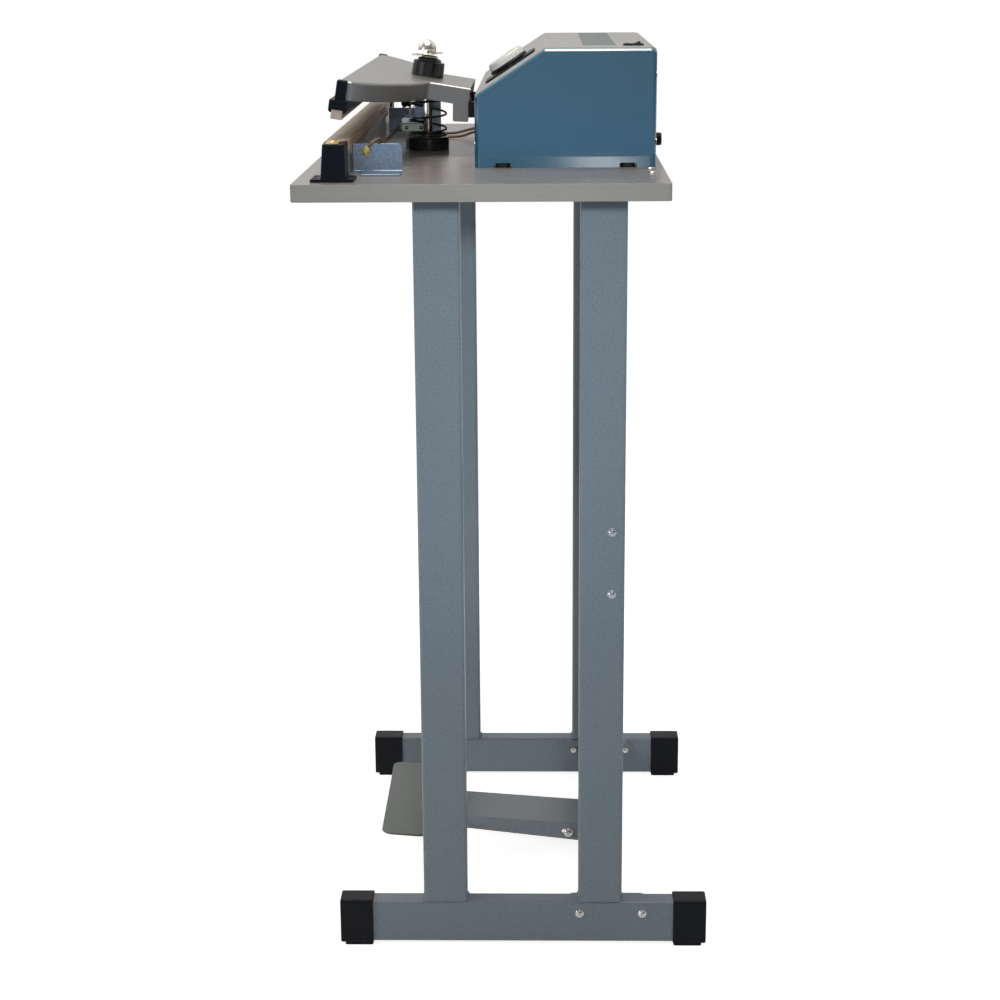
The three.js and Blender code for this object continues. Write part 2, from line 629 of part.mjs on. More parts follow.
function addTimer() {
  const group = new THREE.Group();
  group.position.copy(slope.position);
  group.rotation.copy(slope.rotation);
  machine.add(group);
  const half = DIAL_SIDE / 2;
  const plate = roundedRect(knobX - half, slopeMiddle - half, knobX + half, slopeMiddle + half, DIAL_ROUND);
  plate.holes.push(new THREE.Path().absarc(knobX, slopeMiddle, POT_SHAFT / 2 + GAP, 0, 2 * Math.PI, false));
  add('dial_plate', runZ(plate, FACE_GAP, DIAL_THICK, SMALL_ROUND), blackPlastic, group);

  const base = DIAL_THICK + DIAL_GAP;
  const r = KNOB_DIAMETER / 2;
  const socket = POT_SHAFT / 2 + GAP;
  const knob = turned([[socket, base], [r, base], [r - KNOB_TAPER, base + KNOB_HEIGHT - KNOB_TAPER],
    [r - 2 * KNOB_TAPER, base + KNOB_HEIGHT], [0, base + KNOB_HEIGHT],
    [0, base + KNOB_HEIGHT / 2], [socket, base + KNOB_HEIGHT / 2], [socket, base]], 28);
  add('timer_knob', knob.translate(knobX, slopeMiddle, 0), palePlastic, group);

  const body = BOX_SHEET + GAP;
  const shaft = POT_SHAFT / 2;
  const pot = turned([[0, -body - POT_DEPTH], [POT_DIAMETER / 2, -body - POT_DEPTH],
    [POT_DIAMETER / 2, -body], [shaft, -body], [shaft, base + KNOB_HEIGHT / 2 - GAP],
    [0, base + KNOB_HEIGHT / 2 - GAP]], 16);
  add('timer_potentiometer', pot.translate(knobX, slopeMiddle, 0), bareSteel, group);
}

function addPowerSwitch() {
  const y = boxRearY - SWITCH_FROM_REAR;
  const [w, l] = [SWITCH_WIDTH / 2, SWITCH_LENGTH / 2];
  const bezel = block(switchX - w, switchX + w, y - l, y + l, boxTop, boxTop + SWITCH_FRAME);
  const [bw, bl] = [w - SWITCH_FRAME, l - SWITCH_FRAME];
  const body = block(switchX - bw, switchX + bw, y - bl, y + bl,
    boxTop - SWITCH_BODY_DEPTH, boxTop + SWITCH_FRAME / 2);
  const [iw, il] = [bw - GAP, bl - GAP];
  const well = block(switchX - iw, switchX + iw, y - il, y + il,
    boxTop - SWITCH_BODY_DEPTH / 2, boxTop + SWITCH_FRAME + OVERRUN);
  add('power_switch', cut(join(bezel, body), well), blackPlastic);

  // The rocker: a shallow V on top, tipped back to its off side, on a round keel
  const group = new THREE.Group();
  group.position.set(switchX, y, boxTop);
  group.rotation.x = rad(ROCKER_TILT);
  machine.add(group);
  const reach = il - ROCKER_END_GAP;
  const keel = reach / 2;
  const top = SWITCH_FRAME + ROCKER_RISE / 2;
  const rocker = new THREE.Shape();
  rocker.moveTo(-reach, 0);
  rocker.lineTo(-keel, -keel);
  rocker.absarc(0, -keel, keel, Math.PI, 2 * Math.PI, false);
  rocker.lineTo(reach, 0);
  rocker.lineTo(reach, top);
  rocker.lineTo(0, top - ROCKER_RISE / 2);
  rocker.lineTo(-reach, top);
  add('power_rocker', runX(rocker, -iw + GAP, iw - GAP, 5), blackPlastic, group);
}

function addInlet() {
  const bore = INLET_BORE / 2;
  const thread = INLET_THREAD / 2;
  const head = INLET_DIAMETER / 2;
  const profile = [[bore, -INLET_INSIDE], [thread, -INLET_INSIDE], [thread, 0], [head, 0],
    [head, INLET_PROUD - OVERRUN], [head - OVERRUN, INLET_PROUD], [bore, INLET_PROUD], [bore, -INLET_INSIDE]];
  const gland = turned(profile, 18).rotateX(-Math.PI / 2);
  add('cord_inlet', gland.translate(inletX, boxRearY, inletZ), blackPlastic);
}

// Lower jaw
function addLowerJaw() {
  const half = SEAL_BAR_DEPTH / 2;
  const [y0, y1] = [jawY - half, jawY + half];
  const barEnd = blockInner - GAP;
  const section = sheetSection([[y1, TABLE_TOP], [y1, sealBarTop], [y0, sealBarTop], [y0, TABLE_TOP]],
    SEAL_BAR_WEB);
  add('seal_bar', runX(section, -barEnd, barEnd), bareSteel);

  const stripTop = sealBarTop + STRIP_THICK;
  const stripEnd = blockInner + TERMINAL_LENGTH;
  add('heating_strip', block(-stripEnd, stripEnd, jawY - STRIP_WIDTH / 2, jawY + STRIP_WIDTH / 2,
    sealBarTop, stripTop), bareSteel);

  const out = half + GAP + CLOTH_THICK;
  const low = clothTop - CLOTH_SKIRT;
  const cloth = sheetSection([[jawY + out, low], [jawY + out, clothTop], [jawY - out, clothTop],
    [jawY - out, low]], CLOTH_THICK);
  const clothEnd = blockInner - CLOTH_SHORT;
  add('heat_cloth', runX(cloth, -clothEnd, clothEnd), brownCloth);

  for (const [side, sign] of SIDES) {
    addEndBlock(side, sign);
    addEndBracket(side, sign);
  }
}

function addEndBlock(side, sign) {
  const outerX = blockInner + BLOCK_LENGTH;
  const [x0, x1] = sign > 0 ? [blockInner, outerX] : [-outerX, -blockInner];
  const half = BLOCK_DEPTH / 2;
  const foot = half + BLOCK_FOOT;
  const footTop = TABLE_TOP + BLOCK_FOOT_THICK;
  const wide = half + BLOCK_TAPER;
  const profile = outline([[jawY - foot, TABLE_TOP], [jawY + foot, TABLE_TOP], [jawY + foot, footTop],
    [jawY + wide, footTop], [jawY + half, sealBarTop], [jawY - half, sealBarTop],
    [jawY - wide, footTop], [jawY - foot, footTop]]);
  add(`end_block_${side}`, runX(profile, x0, x1), blackPlastic);

  const z0 = sealBarTop + STRIP_THICK;
  const near = blockInner + (BLOCK_LENGTH - TERMINAL_LENGTH) / 2;
  const far = near + TERMINAL_LENGTH;
  const [t0, t1] = sign > 0 ? [near, far] : [-far, -near];
  add(`terminal_${side}`, block(t0, t1, jawY - TERMINAL_DEPTH / 2, jawY + TERMINAL_DEPTH / 2,
    z0, z0 + TERMINAL_THICK), brassed);
}

function addEndBracket(side, sign) {
  const y0 = jawY + BRACKET_BEHIND;
  const y1 = y0 + BRACKET_DEPTH;
  const back = BRACKET_X - BRACKET_SHEET;
  const points = [[sign * back, TABLE_TOP + BRACKET_HEIGHT], [sign * back, TABLE_TOP],
    [sign * (back + BRACKET_FOOT), TABLE_TOP]];
  const section = sheetSection(sign > 0 ? points : points.reverse(), BRACKET_SHEET);
  add(`end_bracket_${side}`, runY(section, y0, y1), zincSheet);
}

// Each lead runs from its bracket's terminal, over the bracket, and back into the box front. Its points
// are across the machine, behind the jaw line, and above the table
const LEAD_START = [[262.3, 27, 21], [268, 28, 24], [270, 33, 30], [265, 39, 34.5],
  [256, 41.5, 34.5]];
const LEAD_RIGHT = [[238, 42, 29], [205, 42, 26.5], [150, 42, 25], [90, 42, 24.5],
  [30, 42, 24.5], [-30, 42, 24.5], [-80, 42, 23], [-112, 45, 18], [-132, 56, 10],
  [-140, 76, 4], [-142, 96, 2.2], [-142, 114, 4], [-142, 126, 8], [-142, 134, 9.5],
  [-142, 139.6, 9.5]];
const LEAD_LEFT = [[243, 42, 27], [228, 45, 17], [216, 53, 7], [206, 68, 2.2],
  [200, 86, 2.2], [197, 104, 3], [196, 120, 7], [196, 132, 9.5], [196, 139.6, 9.5]];

function addLead(side, sign, points) {
  const path = new THREE.CatmullRomCurve3(points.map(([x, y, z]) => new THREE.Vector3(sign * x, jawY + y, TABLE_TOP + z)),
    false, 'centripetal');
  const section = new THREE.Shape();
  for (let i = 0; i < LEAD_SIDES; i += 1) {
    const turn = 2 * Math.PI * i / LEAD_SIDES;
    const [u, v] = [LEAD_DIAMETER / 2 * Math.cos(turn), LEAD_DIAMETER / 2 * Math.sin(turn)];
    if (i === 0) section.moveTo(u, v);
    else section.lineTo(u, v);
  }
  const steps = Math.round(LEAD_STEPS * points.length / LEAD_RIGHT.length);
  const lead = new THREE.ExtrudeGeometry(section, { steps, bevelEnabled: false, extrudePath: path });
  add(`feed_lead_${side}`, lead, brownLead);
}

// Upper arm: plan of the wings and neck, drawn closed, moved in by the sheet for its hollow
function armPlan(inset) {
  const plan = new THREE.Shape();
  const tip = ARM_HALF - inset;
  const neck = NECK_HALF - inset;
  const rear = inset > 0 ? ARM_REAR + OVERRUN : ARM_REAR;
  const lean = ARM_LEAN_SHARE * inset;
  plan.moveTo(-tip, ARM_FRONT + inset);
  plan.lineTo(tip, ARM_FRONT + inset);
  plan.lineTo(tip, ARM_TIP - lean);
  plan.quadraticCurveTo(ARM_SHOULDER_X - inset, ARM_SHOULDER_Y - lean, neck, NECK_CORNER - inset);
  plan.lineTo(neck, rear);
  plan.lineTo(-neck, rear);
  plan.lineTo(-neck, NECK_CORNER - inset);
  plan.quadraticCurveTo(-ARM_SHOULDER_X + inset, ARM_SHOULDER_Y - lean, -tip, ARM_TIP - lean);
  plan.lineTo(-tip, ARM_FRONT + inset);
  return plan;
}

function rodSlot(z0, z1) {
  const half = ROD_RADIUS + GAP;
  return runZ(roundedRect(-half, ROD_SLOT_FRONT, half, ROD_SLOT_REAR, ROD_RADIUS), z0, z1, 3);
}

function addArm() {
  const group = new THREE.Group();
  group.position.set(0, hingeY, hingeZ);
  group.rotation.x = -armAngle;
  machine.add(group);
  const skirtBase = ARM_TOP - ARM_SKIRT;
  const shell = runZ(armPlan(0), skirtBase, ARM_TOP, 6);
  const hollow = runZ(armPlan(ARM_SHEET), skirtBase - OVERRUN, ARM_TOP - ARM_SHEET, 6);
  const ears = SIDES.map(([, sign]) => {
    const x = sign * (NECK_HALF - ARM_SHEET / 2);
    const ear = roundedRect(-EAR_FRONT, -EAR_DROP, ARM_REAR, skirtBase + ARM_SHEET, ARM_SHEET);
    return runX(ear, x - ARM_SHEET / 2, x + ARM_SHEET / 2, 2);
  });
  const bore = runX(disc(0, 0, PIN_RADIUS + GAP), -NECK_HALF - OVERRUN, NECK_HALF + OVERRUN, SMALL_ROUND);
  const shape = join(cut(shell, hollow), ...ears);
  add('arm', cut(shape, bore, rodSlot(ARM_TOP - ARM_SHEET - OVERRUN, ARM_TOP + OVERRUN)), armPaint, group);
  addPressBar(group, skirtBase);
  addArmFittings(group);
}

function addPressBar(group, skirtBase) {
  const y = jawY - hingeY;
  const [y0, y1] = [y - PRESS_DEPTH / 2, y + PRESS_DEPTH / 2];
  const bottom = skirtBase - PRESS_HEIGHT;
  const groove = SILICONE_DEPTH / 2 + GAP;
  const profile = outline([[y0, skirtBase], [y0, bottom + PRESS_WALL], [y0 + PRESS_WALL, bottom],
    [y - groove, bottom], [y - groove, bottom + SILICONE_SINK + GAP],
    [y + groove, bottom + SILICONE_SINK + GAP], [y + groove, bottom], [y1 - PRESS_WALL, bottom],
    [y1, bottom + PRESS_WALL], [y1, skirtBase]]);
  add('press_bar', runX(profile, -PRESS_HALF, PRESS_HALF), blackPlastic, group);

  const siliconeEnd = PRESS_HALF - PRESS_WALL;
  const low = clothTop + CLOSED_GAP - hingeZ;
  const half = SILICONE_DEPTH / 2;
  add('silicone_strip', runX(roundedRect(y - half, low, y + half, bottom + SILICONE_SINK, CLOSED_GAP),
    -siliconeEnd, siliconeEnd, 2), siliconeRubber, group);

  for (const [side, sign] of SIDES) {
    const [x0, x1] = [ARM_HALF + GAP, ARM_HALF + TIP_CAP_LENGTH];
    const cap = roundedRect(ARM_FRONT - TIP_CAP_PROUD, skirtBase, ARM_TIP + TIP_CAP_PROUD,
      ARM_TOP + TIP_CAP_PROUD, OVERRUN);
    const ends = sign > 0 ? [x0, x1] : [-x1, -x0];
    add(`arm_cap_${side}`, runX(cap, ...ends, 2), blackPlastic, group);
  }
}

function addArmFittings(group) {
  const neckBase = ARM_TOP + BUSH_HEIGHT;
  const washerBase = neckBase + BUSH_NECK_HEIGHT;
  const lower = runZ(disc(0, BUSH_Y, BUSH_RADIUS), ARM_TOP + GAP, neckBase, LARGE_ROUND);
  const upper = runZ(disc(0, BUSH_Y, BUSH_NECK_RADIUS), neckBase - OVERRUN, washerBase - GAP, LARGE_ROUND);
  add('arm_bush', cut(join(lower, upper), rodSlot(ARM_TOP - OVERRUN, washerBase + OVERRUN)),
    blackPlastic, group);
  const washer = runZ(disc(0, BUSH_Y, WASHER_RADIUS), washerBase, washerTop, LARGE_ROUND);
  add('rod_washer', cut(washer, rodSlot(washerBase - OVERRUN, washerTop + OVERRUN)), chromed, group);
}

// The hinge: two lugs on a plate fixed to the box front, and a pin through lugs and ears
function addHinge() {
  const lugOuter = NECK_HALF - ARM_SHEET - LUG_SIDE_GAP;
  const plateFront = boxFrontY - HINGE_PLATE_THICK;
  const plate = block(-lugOuter, lugOuter, plateFront, boxFrontY,
    hingeZ - HINGE_PLATE_BELOW, hingeZ + HINGE_PLATE_ABOVE);
  const lugs = SIDES.map(([, sign]) => {
    const lug = new THREE.Shape();
    lug.absarc(hingeY, hingeZ, LUG_REACH, Math.PI / 2, 3 * Math.PI / 2, false);
    lug.lineTo(plateFront + HINGE_PLATE_THICK / 2, hingeZ - LUG_REACH);
    lug.lineTo(plateFront + HINGE_PLATE_THICK / 2, hingeZ + LUG_REACH);
    const inner = lugOuter - LUG_THICK;
    return sign > 0 ? runX(lug, inner, lugOuter, 6) : runX(lug, -lugOuter, -inner, 6);
  });
  const bore = runX(disc(hingeY, hingeZ, PIN_RADIUS + GAP), -NECK_HALF, NECK_HALF, SMALL_ROUND);
  add('hinge_bracket', cut(join(plate, ...lugs), bore), standPaint);
  add('hinge_pin', runX(disc(hingeY, hingeZ, PIN_RADIUS), -NECK_HALF, NECK_HALF, SMALL_ROUND), bareSteel);
}

// Pull rod with its eye, the dome nut, the spring and the spring's seat
function addRod() {
  const rodTop = nutBase + NUT_BORE_DEPTH - GAP;
  const rod = runZ(disc(0, rodY, ROD_RADIUS), linkWorldZ + EYE_RADIUS / 2, rodTop, SMALL_ROUND);
  const eye = runX(disc(rodY, linkWorldZ, EYE_RADIUS), -EYE_THICK / 2, EYE_THICK / 2, SMALL_ROUND);
  const hole = runX(disc(rodY, linkWorldZ, LINK_PIN_RADIUS + EYE_CLEARANCE),
    -EYE_THICK, EYE_THICK, SMALL_ROUND);
  add('pull_rod', cut(join(rod, eye), hole), chromed);

  const bore = ROD_RADIUS + GAP;
  const seatRise = Math.tan(armAngle);
  const domeBase = NUT_HEX + seatRise * NUT_RADIUS;
  const dome = NUT_HEIGHT - domeBase;
  const profile = [[bore, bore * seatRise], [NUT_RADIUS, NUT_RADIUS * seatRise], [NUT_RADIUS, domeBase]];
  const domeSteps = 4;
  for (let i = 1; i <= domeSteps; i += 1) {
    const turn = Math.PI / 2 * i / domeSteps;
    profile.push([(NUT_RADIUS - GAP) * Math.cos(turn), domeBase + dome * Math.sin(turn)]);
  }
  profile[profile.length - 1][0] = 0;
  profile.push([0, NUT_BORE_DEPTH], [bore, NUT_BORE_DEPTH], [bore, bore * seatRise]);
  add('cap_nut', turned(profile, 18).translate(0, rodY, nutBase), chromed);

  const seat = turned([[bore, 0], [SEAT_RADIUS, 0], [SEAT_RADIUS, SEAT_HEIGHT - SEAT_ROUND],
    [SEAT_RADIUS - SEAT_ROUND, SEAT_HEIGHT], [bore, SEAT_HEIGHT], [bore, 0]], 28);
  add('spring_seat', seat.translate(0, rodY, TABLE_TOP), blackPlastic);
  addSpring();
}

// The spring's centre line: a closed curl at each end and open curls between, its top end
// lying along the underside of the raised arm
function springPoint(turns) {
  const seat = TABLE_TOP + SEAT_HEIGHT + SPRING_WIRE / 2 + GAP;
  const under = hingeZ + (ARM_TOP - ARM_SHEET) / Math.cos(armAngle) - rodFromHinge * Math.tan(armAngle);
  const top = under - (SPRING_WIRE / 2 + GAP) / Math.cos(armAngle);
  const openRise = (top - seat - 2 * SPRING_END_RISE) / (SPRING_CURLS - 2);
  const rising = Math.min(Math.max(turns - 1, 0), SPRING_CURLS - 2);
  const flat = turns - rising;
  const radius = (SPRING_OUTER - SPRING_WIRE) / 2;
  const angle = 2 * Math.PI * turns;
  const y = radius * Math.sin(angle);
  const tilt = rising / (SPRING_CURLS - 2) * Math.tan(armAngle) * y;
  const z = seat + openRise * rising + SPRING_END_RISE * flat - tilt;
  return new THREE.Vector3(radius * Math.cos(angle), rodY + y, z);
}

function addSpring() {
  const steps = SPRING_CURLS * SPRING_CURL_STEPS;
  const position = [];
  const index = [];
  for (let i = 0; i <= steps; i += 1) {
    const turns = i / SPRING_CURL_STEPS;
    const centre = springPoint(turns);
    const angle = 2 * Math.PI * turns;
    const outward = new THREE.Vector3(Math.cos(angle), Math.sin(angle), 0);
    for (let j = 0; j < SPRING_SIDES; j += 1) {
      const turn = 2 * Math.PI * j / SPRING_SIDES;
      const point = centre.clone().addScaledVector(outward, SPRING_WIRE / 2 * Math.cos(turn));
      point.z += SPRING_WIRE / 2 * Math.sin(turn);
      position.push(point.x, point.y, point.z);
      if (i === steps) continue;
      const [a, b] = [i * SPRING_SIDES + j, i * SPRING_SIDES + (j + 1) % SPRING_SIDES];
      const [c, d] = [a + SPRING_SIDES, b + SPRING_SIDES];
      index.push(a, c, b, b, c, d);
    }
  }
  const last = steps * SPRING_SIDES;
  for (let j = 1; j < SPRING_SIDES - 1; j += 1) {
    index.push(0, j, j + 1, last, last + j + 1, last + j);
  }
  const geometry = new THREE.BufferGeometry();
  geometry.setAttribute('position', new THREE.BufferAttribute(Float32Array.from(position), 3));
  geometry.setIndex(index);
  add('return_spring', geometry, springSteel);
  console.log(`return spring, least gap between curls: ${springGap().toFixed(2)} mm`);
}

// Least distance between the wire and the wire a curl further on, less the wire itself
function springGap() {
  const samples = SPRING_CURLS * SPRING_CURL_STEPS * 3;
  const points = Array.from({ length: samples + 1 }, (_, i) => springPoint(i / samples * SPRING_CURLS));
  let least = Infinity;
  points.forEach((a, i) => points.forEach((b, j) => {
    if ((j - i) / samples * SPRING_CURLS > 1 / 2) least = Math.min(least, a.distanceTo(b));
  }));
  return least - SPRING_WIRE;
}

// Microswitch on its plate, and its lever up to the arm
function addMicroswitch() {
  const half = MICRO_THICK / 2;
  const body = roundedRect(microFrontY, microBaseZ, microFrontY + MICRO_LENGTH,
    microBaseZ + MICRO_HEIGHT, MICRO_ROUND);
  add('microswitch', runX(body, MICRO_X - half, MICRO_X + half, 2), palePlastic);

  const face = MICRO_X - half;
  const back = face - PLATE_SHEET;
  const [front, step, rear] = [PLATE_FRONT, PLATE_STEP, PLATE_REAR].map((y) => microFrontY + y);
  const profile = outline([[front, TABLE_TOP], [rear, TABLE_TOP], [rear, TABLE_TOP + PLATE_TALL],
    [step, TABLE_TOP + PLATE_TALL], [step, TABLE_TOP + PLATE_LOW], [front, TABLE_TOP + PLATE_LOW]]);
  const foot = block(back - PLATE_FOOT, back + PLATE_SHEET / 2, front, rear,
    TABLE_TOP, TABLE_TOP + PLATE_SHEET);
  add('switch_plate', join(runX(profile, back, face - FACE_GAP), foot), zincSheet);

  const group = new THREE.Group();
  const pivotZ = microBaseZ + MICRO_HEIGHT + LEVER_KNUCKLE + GAP;
  group.position.set(MICRO_X, microFrontY + LEVER_SET, pivotZ);
  machine.add(group);
  const wide = LEVER_WIDTH / 2;
  const blade = runX(outline([[0, -LEVER_THICK / 2], [LEVER_LENGTH, -LEVER_THICK / 2],
    [LEVER_LENGTH, LEVER_THICK / 2], [0, LEVER_THICK / 2]]), -wide, wide);
  blade.rotateX(rad(LEVER_ANGLE));
  const knuckle = runX(disc(0, 0, LEVER_KNUCKLE), -wide, wide, 3);
  add('microswitch_lever', join(blade, knuckle), bareSteel, group);
}

// Pedal
function addPedal() {
  const group = new THREE.Group();
  group.position.set(0, pedalPivotY, pedalPivotZ);
  group.rotation.x = -pedalAngle;
  machine.add(group);
  const side = outline([[pedalFront, -PEDAL_FRONT_BELOW], [PEDAL_REAR, -PEDAL_REAR_BELOW],
    [PEDAL_REAR, PEDAL_TOP], [pedalFront, PEDAL_TOP]]);
  const inside = PEDAL_HALF - PEDAL_SHEET;
  const channel = block(-inside, inside, pedalFront + PEDAL_SHEET, PEDAL_REAR + OVERRUN,
    -PEDAL_REAR_BELOW - OVERRUN, PEDAL_TOP - PEDAL_SHEET);
  const past = PEDAL_HALF + OVERRUN;
  const pivotHole = runX(disc(0, 0, PEDAL_BOLT_RADIUS + GAP), -past, past, SMALL_ROUND);
  const pinHole = runX(disc(linkY, LINK_PIN_Z, LINK_PIN_RADIUS + GAP), -past, past, SMALL_ROUND);
  const slot = { x: ROD_RADIUS + SLOT_GAP, y: EYE_RADIUS + SLOT_GAP };
  const rodHole = block(-slot.x, slot.x, linkY - slot.y, linkY + slot.y, 0, PEDAL_TOP + OVERRUN);
  const arm = cut(runX(side, -PEDAL_HALF, PEDAL_HALF), channel, pivotHole, pinHole, rodHole);
  add('pedal_arm', arm, pedalPaint, group);

  const tread = roundedRect(-TREAD_HALF, treadFront, TREAD_HALF, treadFront + TREAD_DEPTH, TREAD_ROUND);
  add('pedal_plate', runZ(tread, PEDAL_TOP + FACE_GAP, PEDAL_TOP + TREAD_THICK, 5), pedalPaint, group);

  add('rod_link_pin', runX(disc(linkY, LINK_PIN_Z, LINK_PIN_RADIUS),
    -PEDAL_HALF, PEDAL_HALF, SMALL_ROUND), bareSteel, group);
}

function addPedalBolt() {
  const shank = runX(disc(pedalPivotY, pedalPivotZ, PEDAL_BOLT_RADIUS),
    -PEDAL_HALF - BOLT_HEAD_HEIGHT, PEDAL_HALF + OVERRUN, SMALL_ROUND);
  const start = PEDAL_HALF + GAP;
  const head = runX(disc(pedalPivotY, pedalPivotZ, BOLT_HEAD_RADIUS),
    start, start + BOLT_HEAD_HEIGHT, SMALL_ROUND);
  add('pedal_pivot_bolt', join(shank, head), bareSteel);
}

addStand();
addTable();
addBox();
addTimer();
addPowerSwitch();
addInlet();
addLowerJaw();
addLead('right', 1, [...LEAD_START, ...LEAD_RIGHT]);
addLead('left', -1, [...LEAD_START, ...LEAD_LEFT]);
addArm();
addHinge();
addRod();
addMicroswitch();
addPedal();
addPedalBolt();

export default machine;
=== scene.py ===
"""Looks of the foot-pedal impulse heat sealer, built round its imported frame.

Lengths are millimetres until a piece is placed, which turns them into metres. The operator stands
at -Y, +X is the machine's right side, and the floor is at z 0.
"""
import json
from math import atan2, cos, pi, radians, sin, sqrt, tan

import bmesh
import bpy
from mathutils import Matrix, Vector

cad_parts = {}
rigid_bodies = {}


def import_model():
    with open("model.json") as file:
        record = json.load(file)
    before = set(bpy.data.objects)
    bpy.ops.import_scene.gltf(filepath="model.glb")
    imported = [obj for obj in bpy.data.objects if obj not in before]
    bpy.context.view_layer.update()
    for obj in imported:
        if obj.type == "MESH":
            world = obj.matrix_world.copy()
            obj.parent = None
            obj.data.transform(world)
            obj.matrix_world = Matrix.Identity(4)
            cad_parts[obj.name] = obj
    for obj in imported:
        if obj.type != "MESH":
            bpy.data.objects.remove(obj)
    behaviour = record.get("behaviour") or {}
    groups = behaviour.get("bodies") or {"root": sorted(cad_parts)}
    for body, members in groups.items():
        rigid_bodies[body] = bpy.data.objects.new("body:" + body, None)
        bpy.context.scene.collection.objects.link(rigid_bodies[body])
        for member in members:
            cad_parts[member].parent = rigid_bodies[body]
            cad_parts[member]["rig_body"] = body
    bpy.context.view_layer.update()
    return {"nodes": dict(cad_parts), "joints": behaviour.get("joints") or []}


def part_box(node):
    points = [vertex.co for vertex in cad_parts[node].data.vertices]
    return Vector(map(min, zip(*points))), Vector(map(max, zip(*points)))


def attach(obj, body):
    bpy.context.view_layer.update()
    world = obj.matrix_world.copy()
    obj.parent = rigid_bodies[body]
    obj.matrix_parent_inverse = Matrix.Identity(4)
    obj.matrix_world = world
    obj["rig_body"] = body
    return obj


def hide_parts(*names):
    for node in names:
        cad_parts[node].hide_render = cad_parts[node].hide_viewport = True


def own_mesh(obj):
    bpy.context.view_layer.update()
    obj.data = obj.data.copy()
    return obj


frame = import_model()

MM = 0.001
SIDES = (("right", 1), ("left", -1))
UP = (0, 0, 1)
JOINTS = {joint["name"]: joint for joint in frame["joints"]}


def span(node, axis):
    """Where a node of the frame begins and ends along an axis, in millimetres."""
    return [round(corner["XYZ".index(axis)] / MM, 2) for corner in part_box(node)]


def middle(node, axis):
    return sum(span(node, axis)) / 2


def pivot(joint):
    """The point that a joint turns about, in millimetres."""
    return [round(metres / MM, 2) for metres in JOINTS[joint]["pos_m"]]


# Places and sizes that the pieces share, from the frame
TABLE_UNDER, TABLE_TOP = span("tabletop", "Z")
TABLE_FRONT, TABLE_REAR = span("tabletop", "Y")
TABLE_HALF = span("tabletop", "X")[1]
LEG_IN, LEG_OUT = span("leg_front_right", "X")
BAR_TOP, LEG_TOP = span("leg_front_right", "Z")
LEG_X, TUBE_HALF = (LEG_OUT + LEG_IN) / 2, (LEG_OUT - LEG_IN) / 2
TUBE_DEEP = BAR_TOP - middle("foot_bar_right", "Z")
TUBE_WALL = 1.5
JAW_Y, ROD_Y = middle("seal_bar", "Y"), middle("pull_rod", "Y")
CLOTH_LOW, CLOTH_TOP = span("heat_cloth", "Z")
BOX_HALF = span("box_side_right", "X")[1]
BOX_FRONT, BOX_REAR = span("box_side_right", "Y")
BOX_TOP = span("box_side_right", "Z")[1]
BOX_FEET_Y = (BOX_FRONT + 30, BOX_REAR - 30)
INLET_X, INLET_Z = middle("cord_inlet", "X"), middle("cord_inlet", "Z")
SWITCH_X, SWITCH_Y, _ = pivot("rocker_flip")
_, PEDAL_Y, PEDAL_Z = pivot("pedal_press")
_, HINGE_Y, HINGE_Z = pivot("arm_swing")
ARM_ANGLE = radians(JOINTS["arm_swing"]["range_deg"][1])
# The knob turns about the middle of the box's slope
KNOB_X, KNOB_Y, KNOB_Z = pivot("knob_turn")
SLOPE_TOP_Y, SLOPE_FOOT_Z = 2 * KNOB_Y - BOX_FRONT, 2 * KNOB_Z - BOX_TOP
SLOPE_ANGLE = atan2(BOX_TOP - SLOPE_FOOT_Z, SLOPE_TOP_Y - BOX_FRONT)
SLOPE_MIDDLE = (SLOPE_TOP_Y - BOX_FRONT) / cos(SLOPE_ANGLE) / 2


def placed(point, lean=0.0):
    """Moves the origin to a point after leaning about X."""
    return Matrix.Translation(point) @ Matrix.Rotation(lean, 4, "X")


ON_ARM = placed((0, HINGE_Y, HINGE_Z), -ARM_ANGLE)
ON_SLOPE = placed((0, BOX_FRONT, SLOPE_FOOT_Z), SLOPE_ANGLE)
ON_ROCKER = placed((SWITCH_X, SWITCH_Y, BOX_TOP), radians(7))


